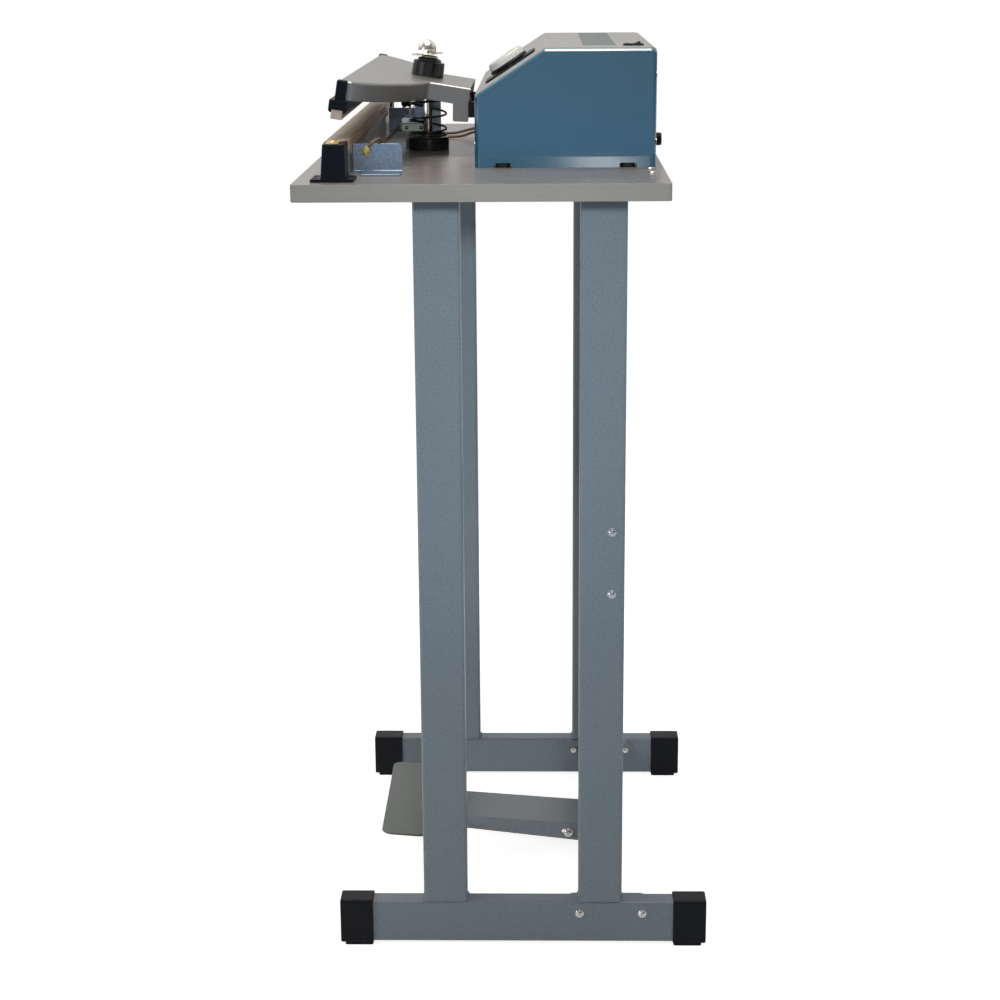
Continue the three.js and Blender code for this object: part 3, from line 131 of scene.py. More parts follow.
# Finishes
class Tree:
    """A node tree being filled in, with short ways to add a node and to feed a socket."""

    def __init__(self, tree):
        self.tree = tree

    def add(self, kind, feeds=None, **settings):
        node = self.tree.nodes.new(kind)
        for key, value in settings.items():
            setattr(node, key, value)
        for key, value in (feeds or {}).items():
            self.feed(node.inputs[key], value)
        return node

    def feed(self, socket, value):
        if isinstance(value, bpy.types.Node):
            value = value.outputs[0]
        if isinstance(value, bpy.types.NodeSocket):
            self.tree.links.new(value, socket)
        elif hasattr(socket.default_value, "__len__") and len(socket.default_value) == 4:
            socket.default_value = (*value[:3], 1.0)
        else:
            socket.default_value = value

    def shade(self, values):
        for key, value in values.items():
            self.feed(self.tree.nodes["Principled BSDF"].inputs[key], value)

    def use(self, group, *values):
        """The outputs of a group whose inputs are fed in their order."""
        return self.add("ShaderNodeGroup", dict(enumerate(values)), node_tree=group).outputs

    def maths(self, how, a, b=0.0, clamp=False):
        return self.add("ShaderNodeMath", {0: a, 1: b}, operation=how, use_clamp=clamp).outputs[0]

    def times(self, a, b, clamp=False):
        return self.maths("MULTIPLY", a, b, clamp)

    def plus(self, a, b, clamp=False):
        return self.maths("ADD", a, b, clamp)

    def centred(self, value, depth):
        """A noise that goes to both sides of zero, at that depth."""
        return self.times(self.maths("SUBTRACT", value, 0.5), depth)

    def mixed(self, share, a, b, blend="MIX"):
        node = self.add("ShaderNodeMix", {0: share, 6: a, 7: b}, data_type="RGBA", blend_type=blend)
        return node.outputs[2]

    def spread(self, value, low, high, to_low=0.0, to_high=1.0):
        feeds = dict(enumerate((value, low, high, to_low, to_high)))
        return self.add("ShaderNodeMapRange", feeds).outputs[0]

    def noise(self, vector, scale, detail=2.0, rough=0.5, distortion=0.0):
        return self.add("ShaderNodeTexNoise", {"Vector": vector, "Scale": scale, "Detail": detail,
                                               "Roughness": rough, "Distortion": distortion}).outputs[0]

    def axes(self, vector):
        return self.add("ShaderNodeSeparateXYZ", {0: vector}).outputs

    def vector_maths(self, how, feeds):
        return self.add("ShaderNodeVectorMath", feeds, operation=how).outputs


def effect(fill, *takes):
    """A shader node group, filled by a function that returns the group's outputs by name."""
    group = bpy.data.node_groups.new(fill.__name__, "ShaderNodeTree")
    tree = Tree(group)

    def sockets(labels, way):
        for label in labels:
            kind = {"Vector": "Vector", "Stretch": "Vector", "Colour": "Color"}.get(label, "Float")
            group.interface.new_socket(label, in_out=way, socket_type="NodeSocket" + kind)
    sockets(("Vector", *takes), "INPUT")
    given = tree.add("NodeGroupInput").outputs
    results = fill(tree, given["Vector"], given)
    sockets(results, "OUTPUT")
    tree.add("NodeGroupOutput", results)
    return group


def mottle(tree, here, given):
    """A colour that drifts a little over a surface, broad clouds and fine speckle together."""
    broad = tree.centred(tree.noise(here, given["Clouds"], 4.0, 0.6), given["Cloud depth"])
    fine = tree.centred(tree.noise(here, given["Speckle"]), given["Speckle depth"])
    level = tree.plus(tree.times(tree.plus(broad, fine), 2.0), 1.0)
    return {"Colour": tree.vector_maths("SCALE", {0: given["Colour"], "Scale": level})[0]}


def paint_peel(tree, here, given):
    """The soft waves and pits of sprayed paint, or the fine grain of a moulding, as a height."""
    pits = tree.times(tree.noise(here, given["Pits"]), given["Pit share"])
    return {"Height": tree.plus(tree.noise(here, given["Waves"], 1.0), pits)}


def edge_wear(tree, here, given):
    """Where a corner is sharp enough to rub, broken up so that the line is not even; on the pedal and the box
    the lighter corner is also a painted highlight.
    """
    bevel = tree.add("ShaderNodeBevel", {"Radius": given["Reach"]}, samples=4)
    plain = tree.add("ShaderNodeNewGeometry").outputs["Normal"]
    edge = tree.spread(tree.vector_maths("DOT_PRODUCT", {0: bevel, 1: plain})["Value"], 0.985, 0.80)
    broken = tree.spread(tree.noise(here, 220.0, 5.0, 0.65), 0.42, 0.62)
    return {"Mask": tree.times(tree.times(edge, broken), given["Amount"], clamp=True)}


def settled_dust(tree, here, given):
    """Fine dust that settles on what faces up."""
    up = tree.spread(tree.axes(tree.add("ShaderNodeNewGeometry").outputs["Normal"])["Z"], 0.55, 0.98)
    drift = tree.spread(tree.noise(here, 14.0, 6.0, 0.7), 0.3, 0.75)
    return {"Mask": tree.times(tree.times(up, drift), given["Amount"], clamp=True)}


def handling(tree, here, given):
    """Roughness that changes where a surface has been touched and wiped."""
    smears = tree.noise(here, given["Patches"], 5.0, distortion=0.8)
    change = tree.times(tree.centred(smears, given["Change"]), 2.0)
    return {"Roughness": tree.plus(given["Plain"], change, clamp=True)}


def drawn_lines(tree, here, given):
    """Fine lines along one direction: drawn, brushed or extruded metal."""
    pulled = tree.vector_maths("MULTIPLY", {0: here, 1: given["Stretch"]})[0]
    lines = tree.noise(pulled, 1.0, 3.0)
    return {"Line": lines, "Height": tree.spread(lines, 0.3, 0.7)}


def plain_weave(tree, here, given):
    """Over and under threads as a height, and the gaps between them as a mask."""
    pulled = tree.vector_maths("SCALE", {0: here, "Scale": tree.times(given["Threads"], pi)})[0]
    x, y, _ = tree.axes(pulled)
    across, along = (tree.maths("ABSOLUTE", tree.maths("SINE", axis)) for axis in (x, y))
    turns = [tree.maths("SINE", tree.times(axis, 0.5)) for axis in (x, y)]
    over = tree.maths("GREATER_THAN", tree.times(*turns), 0.0)
    under = tree.maths("SUBTRACT", 1.0, over)
    return {"Height": tree.plus(tree.times(across, over), tree.times(along, under)),
            "Gap": tree.maths("LESS_THAN", tree.times(across, along), 0.06)}


MOTTLE = effect(mottle, "Colour", "Clouds", "Cloud depth", "Speckle", "Speckle depth")
PEEL = effect(paint_peel, "Waves", "Pits", "Pit share")
WEAR_AND_SHEEN = effect(edge_wear, "Reach", "Amount")
DUST = effect(settled_dust, "Amount")
HANDLING = effect(handling, "Plain", "Change", "Patches")
DRAWN = effect(drawn_lines, "Stretch")
WEAVE = effect(plain_weave, "Threads")


def new_look(name, colour):
    """A new material with its tree and the coordinates of the object that wears it."""
    look = bpy.data.materials.new(name)
    look.use_nodes = True
    look.diffuse_color = (*colour, 1)
    tree = Tree(look.node_tree)
    return look, tree, tree.add("ShaderNodeTexCoord").outputs["Object"]


def finish(name, colour, rough, metal=0.0, coat=0.0, coat_rough=0.05, coat_ior=1.5, specular=0.5,
           clouds=(9, 0.06), speckle=(900, 0.05), peel=(350, 1500, 0.3), bump=0.04, wear=None,
           wear_reach=0.0009, bare=(0.42, 0.43, 0.45), bare_metal=0.9, dust=0.08,
           dust_colour=(0.42, 0.40, 0.37), change=0.05, patches=30, drawn=None, drawn_depth=0.2):
    """A finish with drifting colour, grain, rubbed corners that can carry a painted highlight too, dust and
    handling marks.
    """
    look, tree, here = new_look(name, colour)
    paint = tree.use(MOTTLE, here, colour, *clouds, *speckle)[0]
    roughness = tree.use(HANDLING, here, rough, change, patches)[0]
    if drawn:
        line, height = tree.use(DRAWN, here, drawn)
        paint = tree.mixed(drawn_depth, paint, line, "OVERLAY")
    else:
        height = tree.use(PEEL, here, *peel)[0]
    if wear:
        mask = tree.use(WEAR_AND_SHEEN, here, wear_reach, wear)[0]
        paint = tree.mixed(mask, paint, bare)
        if bare_metal != metal:
            metal = tree.spread(mask, 0.0, 1.0, metal, bare_metal)
    if dust:
        film = tree.use(DUST, here, dust)[0]
        paint = tree.mixed(film, paint, dust_colour)
        roughness = tree.plus(roughness, tree.times(film, 0.5), clamp=True)
    if bump:
        tree.shade({"Normal": tree.add("ShaderNodeBump", {"Strength": bump, "Distance": 0.001,
                                                          "Height": height})})
    tree.shade({"Base Color": paint, "Roughness": roughness, "Metallic": metal, "Coat Weight": coat,
                "Coat Roughness": coat_rough, "Coat IOR": coat_ior, "Specular IOR Level": specular})
    return look


# The finishes of the part's own slots
LOOKS = {}


def slotted(name, colour, rough, **more):
    LOOKS[name] = finish(name, colour, rough, **more)


PEDAL_DUST = (0.30, 0.31, 0.24)
slotted("stand_paint", (0.172, 0.214, 0.248), 0.34, speckle=(520, 0.34), bump=0.14,
        peel=(420, 1700, 0.5), wear=0.5, dust=0.05, specular=0.4)
# The pedal's rubbed edges are partly real wear and partly a painted highlight along the bright line of its
# folds.
slotted("pedal_paint", (0.190, 0.220, 0.245), 0.32, speckle=(520, 0.30), bump=0.12,
        wear=0.7, wear_reach=0.0014, dust=0.10, dust_colour=PEDAL_DUST)
# The box's corners turn a faint lighter blue: partly scuffed paint, partly a painted highlight on its rounded
# edges.
slotted("box_paint", (0.013, 0.086, 0.148), 0.46, coat=1.0, coat_rough=0.13, coat_ior=1.85,
        specular=0.15, speckle=(1500, 0.22), clouds=(30, 0.07), change=0.03, wear=0.05,
        bare=(0.10, 0.18, 0.24), bare_metal=0.0, dust=0.03)
slotted("panel_paint", (0.300, 0.290, 0.268), 0.34, speckle=(1300, 0.09), bump=0.08, wear=0.2, dust=0.05)
slotted("arm_paint", (0.250, 0.240, 0.226), 0.30, metal=0.55, speckle=(1100, 0.14), bump=0.05, wear=0.25,
        wear_reach=0.0006, bare=(0.6, 0.59, 0.57), dust=0.04, specular=0.4, change=0.012, patches=9)
slotted("black_plastic", (0.0056, 0.0065, 0.0095), 0.42, speckle=(800, 0.2), bump=0.10,
        peel=(900, 2600, 0.8), wear=0.35, bare=(0.035, 0.038, 0.046), bare_metal=0.0, dust=0.012,
        specular=0.12)
slotted("pale_plastic", (0.63, 0.615, 0.58), 0.34, speckle=(700, 0.05), bump=0.05, wear=0.3,
        bare=(0.70, 0.69, 0.66), bare_metal=0.0, dust=0.05)
slotted("zinc_sheet", (0.29, 0.36, 0.46), 0.28, metal=0.75, speckle=(420, 0.40), clouds=(45, 0.14),
        bump=0.06, dust=0.04)
slotted("bare_steel", (0.50, 0.51, 0.52), 0.30, metal=0.95, speckle=(500, 0.08), dust=0.03)
slotted("chrome", (0.84, 0.79, 0.71), 0.14, metal=1.0, speckle=(200, 0.02), bump=0.012, change=0.04,
        dust=0.02)
slotted("brass", (0.62, 0.44, 0.20), 0.28, metal=0.95, speckle=(400, 0.1), dust=0.03)
slotted("silicone", (0.42, 0.34, 0.29), 0.62, speckle=(600, 0.06), bump=0.05, dust=0.10)
slotted("lead_sleeve", (0.13, 0.075, 0.038), 0.55, speckle=(1600, 0.3), bump=0.3,
        peel=(1500, 3500, 0.8), dust=0.06)
slotted("black_metal", (0.012, 0.012, 0.014), 0.32, metal=0.4, speckle=(700, 0.2), bump=0.05, dust=0.03)
slotted("circuit_board", (0.03, 0.12, 0.05), 0.35, speckle=(400, 0.3), bump=0.1)
slotted("winding", (0.48, 0.26, 0.06), 0.5, speckle=(1500, 0.3), bump=0.3, drawn=(4.0, 1200.0, 1200.0))
slotted("aluminium_bar", (0.40, 0.37, 0.32), 0.34, metal=0.9, bump=0.10, drawn=(4.0, 1400.0, 1400.0),
        dust=0.03)
# Glossy grey-brown laminate with a very faint flow of lighter and darker threads
slotted("table_board", (0.285, 0.258, 0.245), 0.21, speckle=(500, 0.06), clouds=(5, 0.07), bump=0.01,
        peel=(60, 400, 0.2), dust=0.03, change=0.03, patches=12)

# The finishes of what the scene adds
GLOSS_BLACK = finish("gloss_black", (0.006, 0.006, 0.007), 0.16, speckle=(500, 0.1), bump=0.02, dust=0.03)
RUBBER = finish("rubber_feet", (0.012, 0.014, 0.014), 0.62, bump=0.1, dust=0.12)
BOLT_STEEL = finish("bolt_steel", (0.55, 0.54, 0.52), 0.24, metal=1.0, speckle=(600, 0.08), bump=0.02,
                    dust=0.02)
LABEL_BLANK = finish("label_blank", (0.135, 0.162, 0.162), 0.55, specular=0.3, bump=0.02, dust=0.03)
DIAL_MARKS = finish("dial_marks", (0.60, 0.60, 0.58), 0.5, bump=0.0, dust=0.0)
SWITCH_COVER = finish("switch_cover", (0.42, 0.50, 0.54), 0.36, speckle=(600, 0.05))
SWITCH_BODY = finish("switch_body", (0.22, 0.27, 0.22), 0.45, speckle=(600, 0.06))
DARK_SEAM = finish("dark_seam", (0.015, 0.022, 0.018), 0.6, bump=0.0, dust=0.0)
YELLOW_SLEEVE = finish("yellow_sleeve", (0.46, 0.40, 0.10), 0.45, speckle=(900, 0.1), bump=0.05)
EDGE_BAND = finish("edge_band", (0.270, 0.262, 0.236), 0.50, clouds=(12, 0.06), speckle=(700, 0.06),
                   bump=0.05, drawn=(6.0, 6.0, 700.0), drawn_depth=0.08, dust=0.0)
# The pedal's top plate is a darker, greener copy of the pedal's paint: painted shade with a warm tint of the
# light that falls on its top.
PEDAL_TREAD_SHADED = finish("pedal_tread_shaded", (0.118, 0.138, 0.122), 0.36, speckle=(900, 0.16), bump=0.12, wear=0.7,
                     wear_reach=0.0014, dust_colour=PEDAL_DUST)
BOARD_BACK = finish("board_back", (0.36, 0.33, 0.28), 0.6, clouds=(14, 0.08), bump=0.08, dust=0.0)


def cloth_finish():
    """Brown coated glass cloth: its weave shows through, darker along the line that is heated."""
    look, tree, here = new_look("coated_cloth", (0.2, 0.14, 0.09))
    height, gap = tree.use(WEAVE, here, 1100.0)
    base = tree.use(MOTTLE, here, (0.47, 0.34, 0.21), 14.0, 0.16, 1600.0, 0.12)[0]
    threads = tree.mixed(tree.times(gap, 0.45), base, (0.14, 0.085, 0.045))
    off_line = tree.maths("ABSOLUTE", tree.maths("SUBTRACT", tree.axes(here)["Y"], JAW_Y * MM))
    scorched = tree.times(tree.spread(off_line, 0.0045, 0.001),
                          tree.spread(tree.noise(here, 60.0, 5.0), 0.35, 0.7), clamp=True)
    tree.shade({"Base Color": tree.mixed(tree.times(scorched, 0.55), threads, (0.07, 0.042, 0.024)),
                "Roughness": tree.use(HANDLING, here, 0.42, 0.12, 50.0)[0],
                "Normal": tree.add("ShaderNodeBump", {"Strength": 0.35, "Distance": 0.0003,
                                                      "Height": height}),
                "Coat Weight": 0.05, "Coat Roughness": 0.25})
    return look


LOOKS["coated_cloth"] = cloth_finish()


# Shapes
def polar(radius, angle, u=0.0, v=0.0):
    return Vector((u + radius * cos(angle), v + radius * sin(angle)))


def crossed(a, b):
    return a.x * b.y - a.y * b.x


def each(value, count):
    return value if isinstance(value, (list, tuple)) else [value] * count


def rounded(points, radius, steps=5):
    """A closed outline in the plane with its corners turned into arcs of the given radius or radii."""
    count = len(points)
    made = []
    for i, r in enumerate(each(radius, count)):
        corner = Vector(points[i])
        if r <= 0:
            made.append(corner)
            continue
        before = (Vector(points[i - 1]) - corner).normalized()
        after = (Vector(points[(i + 1) % count]) - corner).normalized()
        half = before.angle(after) / 2
        centre = corner + (before + after).normalized() * (r / sin(half))
        start, end = (corner + ray * (r / tan(half)) - centre for ray in (before, after))
        turn = atan2(crossed(start, end), start.dot(end))
        for t in (turn * k / steps for k in range(steps + 1)):
            made.append(centre + Vector((start.x * cos(t) - start.y * sin(t),
                                         start.x * sin(t) + start.y * cos(t))))
    return made


def inset(points, gaps):
    """A counter-clockwise outline with each edge moved in by its own gap."""
    at = [Vector(p) for p in points]
    lines = []
    for here, there, gap in zip(at, at[1:] + at[:1], each(gaps, len(at))):
        along = (there - here).normalized()
        lines.append((here + Vector((-along.y, along.x)) * gap, along))
    made = []
    for (p, d), (q, e) in zip(lines[-1:] + lines, lines):
        cross = crossed(d, e)
        made.append(q.copy() if abs(cross) < 1e-6 else p + d * (crossed(q - p, e) / cross))
    return made


def rectangle(u0, v0, u1, v1, r=0.0, steps=5):
    return rounded([(u0, v0), (u1, v0), (u1, v1), (u0, v1)], r, steps)


def circle(u, v, r, steps=32):
    return [polar(r, 2 * pi * i / steps, u, v) for i in range(steps)]


LAYOUT = {"X": lambda u, v, a: (a, u, v), "Y": lambda u, v, a: (u, a, v), "Z": lambda u, v, a: (u, v, a)}


def ring(bm, outline, axis, a):
    return [bm.verts.new(LAYOUT[axis](p[0], p[1], a)) for p in outline]


def strip(bm, one, two, closed=True):
    count = len(one)
    for i in range(count if closed else count - 1):
        j = (i + 1) % count
        bm.faces.new((one[i], one[j], two[j], two[i]))


def skin(bm, rows, closed=True):
    for one, two in zip(rows, rows[1:]):
        strip(bm, one, two, closed)
    return bm


def stack(outlines, axis, heights, bm=None):
    """A solid through a row of outlines that have the same number of points."""
    bm = bm or bmesh.new()
    rings = [ring(bm, outline, axis, a) for outline, a in zip(outlines, heights)]
    skin(bm, rings)
    bm.faces.new(rings[0])
    bm.faces.new(rings[-1])
    return bm


def run(outline, axis, a0, a1, bm=None):
    """A solid with that outline, along an axis."""
    return stack([outline, outline], axis, [a0, a1], bm)


def block(x0, x1, y0, y1, z0, z1, bm=None):
    return run(rectangle(x0, y0, x1, y1), "Z", z0, z1, bm)


def pipe(outer, inner, axis, a0, a1):
    """A tube with that outer and inner outline, of the same number of points."""
    bm = bmesh.new()
    rings = [ring(bm, outline, axis, a) for outline, a in
             ((outer, a0), (outer, a1), (inner, a1), (inner, a0))]
    return skin(bm, rings + rings[:1])


def pressed(row, outer_rim, inner_rim, face, r):
    """A shell of pressed sheet: row(gap, level, least radius) from its rolled rim to its flat face."""
    wall = 2.0
    bends = [radians(a) for a in range(0, 91, 15)]
    outer = list(zip((0.5, 0.1, 0.0), outer_rim))
    outer += [(r * (1 - cos(a)), face - r + r * sin(a)) for a in bends]
    inner = list(zip((1.5, 1.9, 2.0), inner_rim))
    inner += [(wall + (r - wall) * (1 - cos(a)), face - r + (r - wall) * sin(a)) for a in bends]
    bm = bmesh.new()
    out, into = ([[bm.verts.new(p) for p in row(gap, level, least)] for gap, level in stations]
                 for stations, least in ((outer, 0.0), (inner, 0.5)))
    for rows in (out, into):
        skin(bm, rows, closed=False)
        bm.faces.new(rows[-1])
    strip(bm, out[0], into[0], closed=False)
    bm.faces.new([row[0] for row in out] + [row[-1] for row in reversed(out)]
                 + [row[-1] for row in into] + [row[0] for row in reversed(into)])
    return bm


def turned(profile, steps=48, bm=None, place=None):
    """A solid of revolution about +Z from (radius, height) points; a ring if it starts off the axis."""
    bm = bm or bmesh.new()
    rows = [[bm.verts.new((*polar(r, 2 * pi * i / steps), z)) for i in range(steps if r else 1)]
            for r, z in profile]
    pairs = list(zip(rows, rows[1:]))
    if len(rows[0]) > 1 or len(rows[-1]) > 1:
        pairs.append((rows[-1], rows[0]))
    for one, two in pairs:
        for i in range(steps):
            j = (i + 1) % steps
            corners = [one[i % len(one)], one[j % len(one)], two[j % len(two)], two[i % len(two)]]
            corners = [c for k, c in enumerate(corners) if c not in corners[:k]]
            if len(corners) > 2:
                bm.faces.new(corners)
    if place is not None:
        bmesh.ops.transform(bm, matrix=place, verts=[v for row in rows for v in row])
    return bm


def towards(axis, point):
    """Turns +Z to the axis and moves the origin to the point."""
    return Matrix.Translation(point) @ Vector(UP).rotation_difference(Vector(axis)).to_matrix().to_4x4()


def swept(path, radius, sides=12, bm=None):
    """A round bar along points; radius is a number or one for each point."""
    bm = bm or bmesh.new()
    path = [Vector(p) for p in path]
    rows, normal, last = [], None, None
    for i, (point, r) in enumerate(zip(path, each(radius, len(path)))):
        ahead = (path[min(i + 1, len(path) - 1)] - path[max(i - 1, 0)]).normalized()
        if normal is None:
            normal = ahead.orthogonal().normalized()
        else:
            normal = (last.rotation_difference(ahead) @ normal)
            normal = (normal - ahead * normal.dot(ahead)).normalized()
        last = ahead
        side = ahead.cross(normal)
        turns = [2 * pi * k / sides for k in range(sides)]
        rows.append([bm.verts.new(point + (normal * cos(t) + side * sin(t)) * r) for t in turns])
    skin(bm, rows)
    bm.faces.new(rows[0])
    bm.faces.new(rows[-1])
    return bm


def mesh_of(bm, name, scale=1.0, place=None):
    if place is not None:
        bmesh.ops.transform(bm, matrix=place, verts=bm.verts)
    if scale != 1.0:
        bmesh.ops.scale(bm, vec=(scale,) * 3, verts=bm.verts)
    bmesh.ops.recalc_face_normals(bm, faces=bm.faces)
    mesh = bpy.data.meshes.new(name)
    bm.to_mesh(mesh)
    bm.free()
    return mesh


def on_scene(name, data):
    made = bpy.data.objects.new(name, data)
    bpy.context.scene.collection.objects.link(made)
    return made


def baked(made):
    """The evaluated mesh of an object with its modifiers applied; the object goes."""
    bpy.context.view_layer.update()
    graph = bpy.context.evaluated_depsgraph_get()
    mesh = bpy.data.meshes.new_from_object(made.evaluated_get(graph), depsgraph=graph)
    bpy.data.objects.remove(made)
    return mesh


def welded(mesh, scale, gap, angle):
    """A mesh's shape, scaled, with its loose triangles merged and its flats whole."""
    bm = bmesh.new()
    bm.from_mesh(mesh)
    bmesh.ops.scale(bm, vec=(scale,) * 3, verts=bm.verts)
    bmesh.ops.remove_doubles(bm, verts=bm.verts, dist=gap)
    bmesh.ops.dissolve_limit(bm, angle_limit=radians(angle), verts=bm.verts, edges=bm.edges)
    return bm


def carved(bm, *tools, how="DIFFERENCE"):
    """A shape with others cut out of it one by one, or joined to it."""
    for tool in tools:
        base, cutter = (on_scene(name, mesh_of(shape, name)) for name, shape in
                        (("carving", bm), ("cutter", tool)))
        step = base.modifiers.new("carve", "BOOLEAN")
        step.operation, step.solver, step.object = how, "EXACT", cutter
        bm = welded(baked(base), 1.0, 1e-4, 0.5)
        bpy.data.objects.remove(cutter)
    return bm


# Pieces
def smooth(mesh):
    for face in mesh.polygons:
        face.use_smooth = True


def piece(name, bm, look, node=None, body="stand", at=None, bevel=0.0, rounds=3, sharp=30, corner=35):
    """Places a shape in the row frame, in metres, on its body, with its finish."""
    mesh = bm if isinstance(bm, bpy.types.Mesh) else mesh_of(bm, name, MM, at)
    mesh.name = name
    made = on_scene(name, mesh)
    smooth(mesh)
    if bevel:
        soft = made.modifiers.new("soft corners", "BEVEL")
        soft.width, soft.segments = bevel * MM, rounds
        soft.limit_method, soft.angle_limit = "ANGLE", radians(corner)
        soft.use_clamp_overlap = True
    else:
        mesh.set_sharp_from_angle(angle=radians(sharp))
    even = made.modifiers.new("even shading", "WEIGHTED_NORMAL")
    even.weight, even.keep_sharp = 100, True
    if not mesh.materials:
        mesh.materials.append(LOOKS[look] if isinstance(look, str) else look)
    if node:
        body = frame["nodes"][node]["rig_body"]
    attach(made, body)
    if node:
        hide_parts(node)
    return made


def copied(node):
    """The CAD node's shape in millimetres."""
    return welded(frame["nodes"][node].data, 1 / MM, 0.002, 0.6)


def dressed(node, look, bevel=0.6, rounds=3, corner=35):
    return piece(f"{node}_shown", copied(node), look, node, bevel=bevel, rounds=rounds, corner=corner)


# Fasteners
def pan_head(radius, height, washer=0.0, flat=False):
    """A cross-recess screw head that sits on z 0, with or without a washer under it."""
    rise = 0.9 if washer else 0.0
    if flat:
        profile = [(0, -0.4), (radius, -0.4), (radius, 0.05), (radius * 0.9, 0.14), (0, 0.2)]
    else:
        profile = [(0, rise), (radius * 0.96, rise), (radius, rise + 0.12 * height)]
        profile += [(radius * cos(t), rise + height * (0.22 + 0.78 * sin(t)))
                    for t in (radians(a) for a in (12, 28, 44, 60, 76))]
        profile += [(0, rise + height)]
    top = rise + (0.2 if flat else height)
    deep = min(height * 0.62, 1.9)
    arm, thick = radius * 0.56, radius * 0.13
    head = carved(turned(profile, 28), run(rectangle(-arm, -thick, arm, thick), "Z", top - deep, top + 1),
                  run(rectangle(-thick, -arm, thick, arm), "Z", top - deep, top + 1.2))
    if washer:
        turned([(radius * 0.55, 0), (washer, 0), (washer, 0.7), (washer - 0.2, 0.9), (radius * 0.55, 0.9)],
               28, head)
    return head


def hexagon(radius, start):
    return [polar(radius, radians(60 * i + start)) for i in range(6)]


def hex_nut(across, height):
    outline = hexagon(across / sqrt(3), 30)
    small = [p * 0.93 for p in outline]
    nut = stack([small, outline, outline, small], "Z", [0, 0.5, height - 0.5, height])
    return turned([(0, height - 0.3), (across * 0.27, height - 0.3), (across * 0.27, height + 1.6),
                   (across * 0.22, height + 2.2), (0, height + 2.2)], 20, nut)


def fastener_tree():
    """Geometry nodes that set a fastener on each point, faces it outwards and gives it a random spin."""
    tree = bpy.data.node_groups.new("set_fasteners", "GeometryNodeTree")
    made = Tree(tree)
    for label, way, kind in (("Geometry", "INPUT", "Geometry"), ("Fastener", "INPUT", "Object"),
                             ("Finish", "INPUT", "Material"), ("Seed", "INPUT", "Int"),
                             ("Geometry", "OUTPUT", "Geometry")):
        tree.interface.new_socket(label, in_out=way, socket_type="NodeSocket" + kind)
    given = made.add("NodeGroupInput").outputs
    ways, sizes = (made.add("GeometryNodeInputNamedAttribute", {"Name": name}, data_type=kind)
                   .outputs["Attribute"] for name, kind in (("facing", "FLOAT_VECTOR"), ("size", "FLOAT")))
    aligned = made.add("FunctionNodeAlignRotationToVector", {"Vector": ways}, axis="Z")
    template = made.add("GeometryNodeObjectInfo", {"Object": given["Fastener"]})
    points = made.add("GeometryNodeInstanceOnPoints", {
        "Points": given["Geometry"], "Instance": template.outputs["Geometry"],
        "Rotation": aligned.outputs["Rotation"], "Scale": sizes})
    spin = made.add("FunctionNodeRandomValue", {"Min": 0.0, "Max": 2 * pi, "Seed": given["Seed"]},
                    data_type="FLOAT")
    turn = made.add("ShaderNodeCombineXYZ", {"Z": [o for o in spin.outputs if o.enabled][0]})
    spun = made.add("GeometryNodeRotateInstances", {"Instances": points, "Rotation": turn})
    real = made.add("GeometryNodeRealizeInstances", {"Geometry": spun})
    coloured = made.add("GeometryNodeSetMaterial", {"Geometry": real, "Material": given["Finish"]})
    made.add("NodeGroupOutput", {0: coloured})
    return tree


FASTENERS = fastener_tree()


def facing(way, points, size=1.0):
    """Spots for fasteners at points that face one way."""
    return [(point, way, size) for point in points]


def fasteners(name, template, spots, seed, look=BOLT_STEEL):
    """One mesh with a fastener at each (point, facing, size) spot, in millimetres, riding on the stand."""
    template = on_scene("template", mesh_of(template, "template", MM))
    smooth(template.data)
    template.data.set_sharp_from_angle(angle=radians(38))
    mesh = bpy.data.meshes.new(name)
    mesh.from_pydata([Vector(p) * MM for p, _, _ in spots], [], [])
    ways = mesh.attributes.new("facing", "FLOAT_VECTOR", "POINT")
    ways.data.foreach_set("vector", [c for _, way, _ in spots for c in Vector(way).normalized()])
    sizes = mesh.attributes.new("size", "FLOAT", "POINT")
    sizes.data.foreach_set("value", [s for _, _, s in spots])
    holder = on_scene(f"{name}_points", mesh)
    step = holder.modifiers.new("fasteners", "NODES")
    step.node_group = FASTENERS
    values = {"Fastener": template, "Finish": look, "Seed": seed}
    for item in FASTENERS.interface.items_tree:
        if item.in_out == "INPUT" and item.name in values:
            step[item.identifier] = values[item.name]
    result = baked(holder)
    bpy.data.objects.remove(template)
    result.name = name
    made = on_scene(name, result)
    if not result.materials:
        result.materials.append(look)
    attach(made, "stand")


# Stand
def tube(u, v, axis, a0, a1):
    """The stand's rectangular tube round a centre line."""
    outer, inner = (rectangle(u - TUBE_HALF + w, v - TUBE_DEEP + w, u + TUBE_HALF - w, v + TUBE_DEEP - w,
                              3.2 - w, 6) for w in (0, TUBE_WALL))
    return pipe(outer, inner, axis, a0, a1)


def weld_bead(bm, points):
    """A rippled bead along straight runs between points."""
    size, pitch = 1.7, 2.6
    path, radii = [], []
    for a, b in zip(points, points[1:]):
        a, b = Vector(a), Vector(b)
        count = max(2, round((b - a).length / pitch * 4))
        for k in range(count):
            path.append(a.lerp(b, k / count))
            radii.append(size * (0.86 + 0.14 * cos(2 * pi * k / 4)))
    return swept(path + [points[-1]], radii + [size * 0.8], 8, bm)


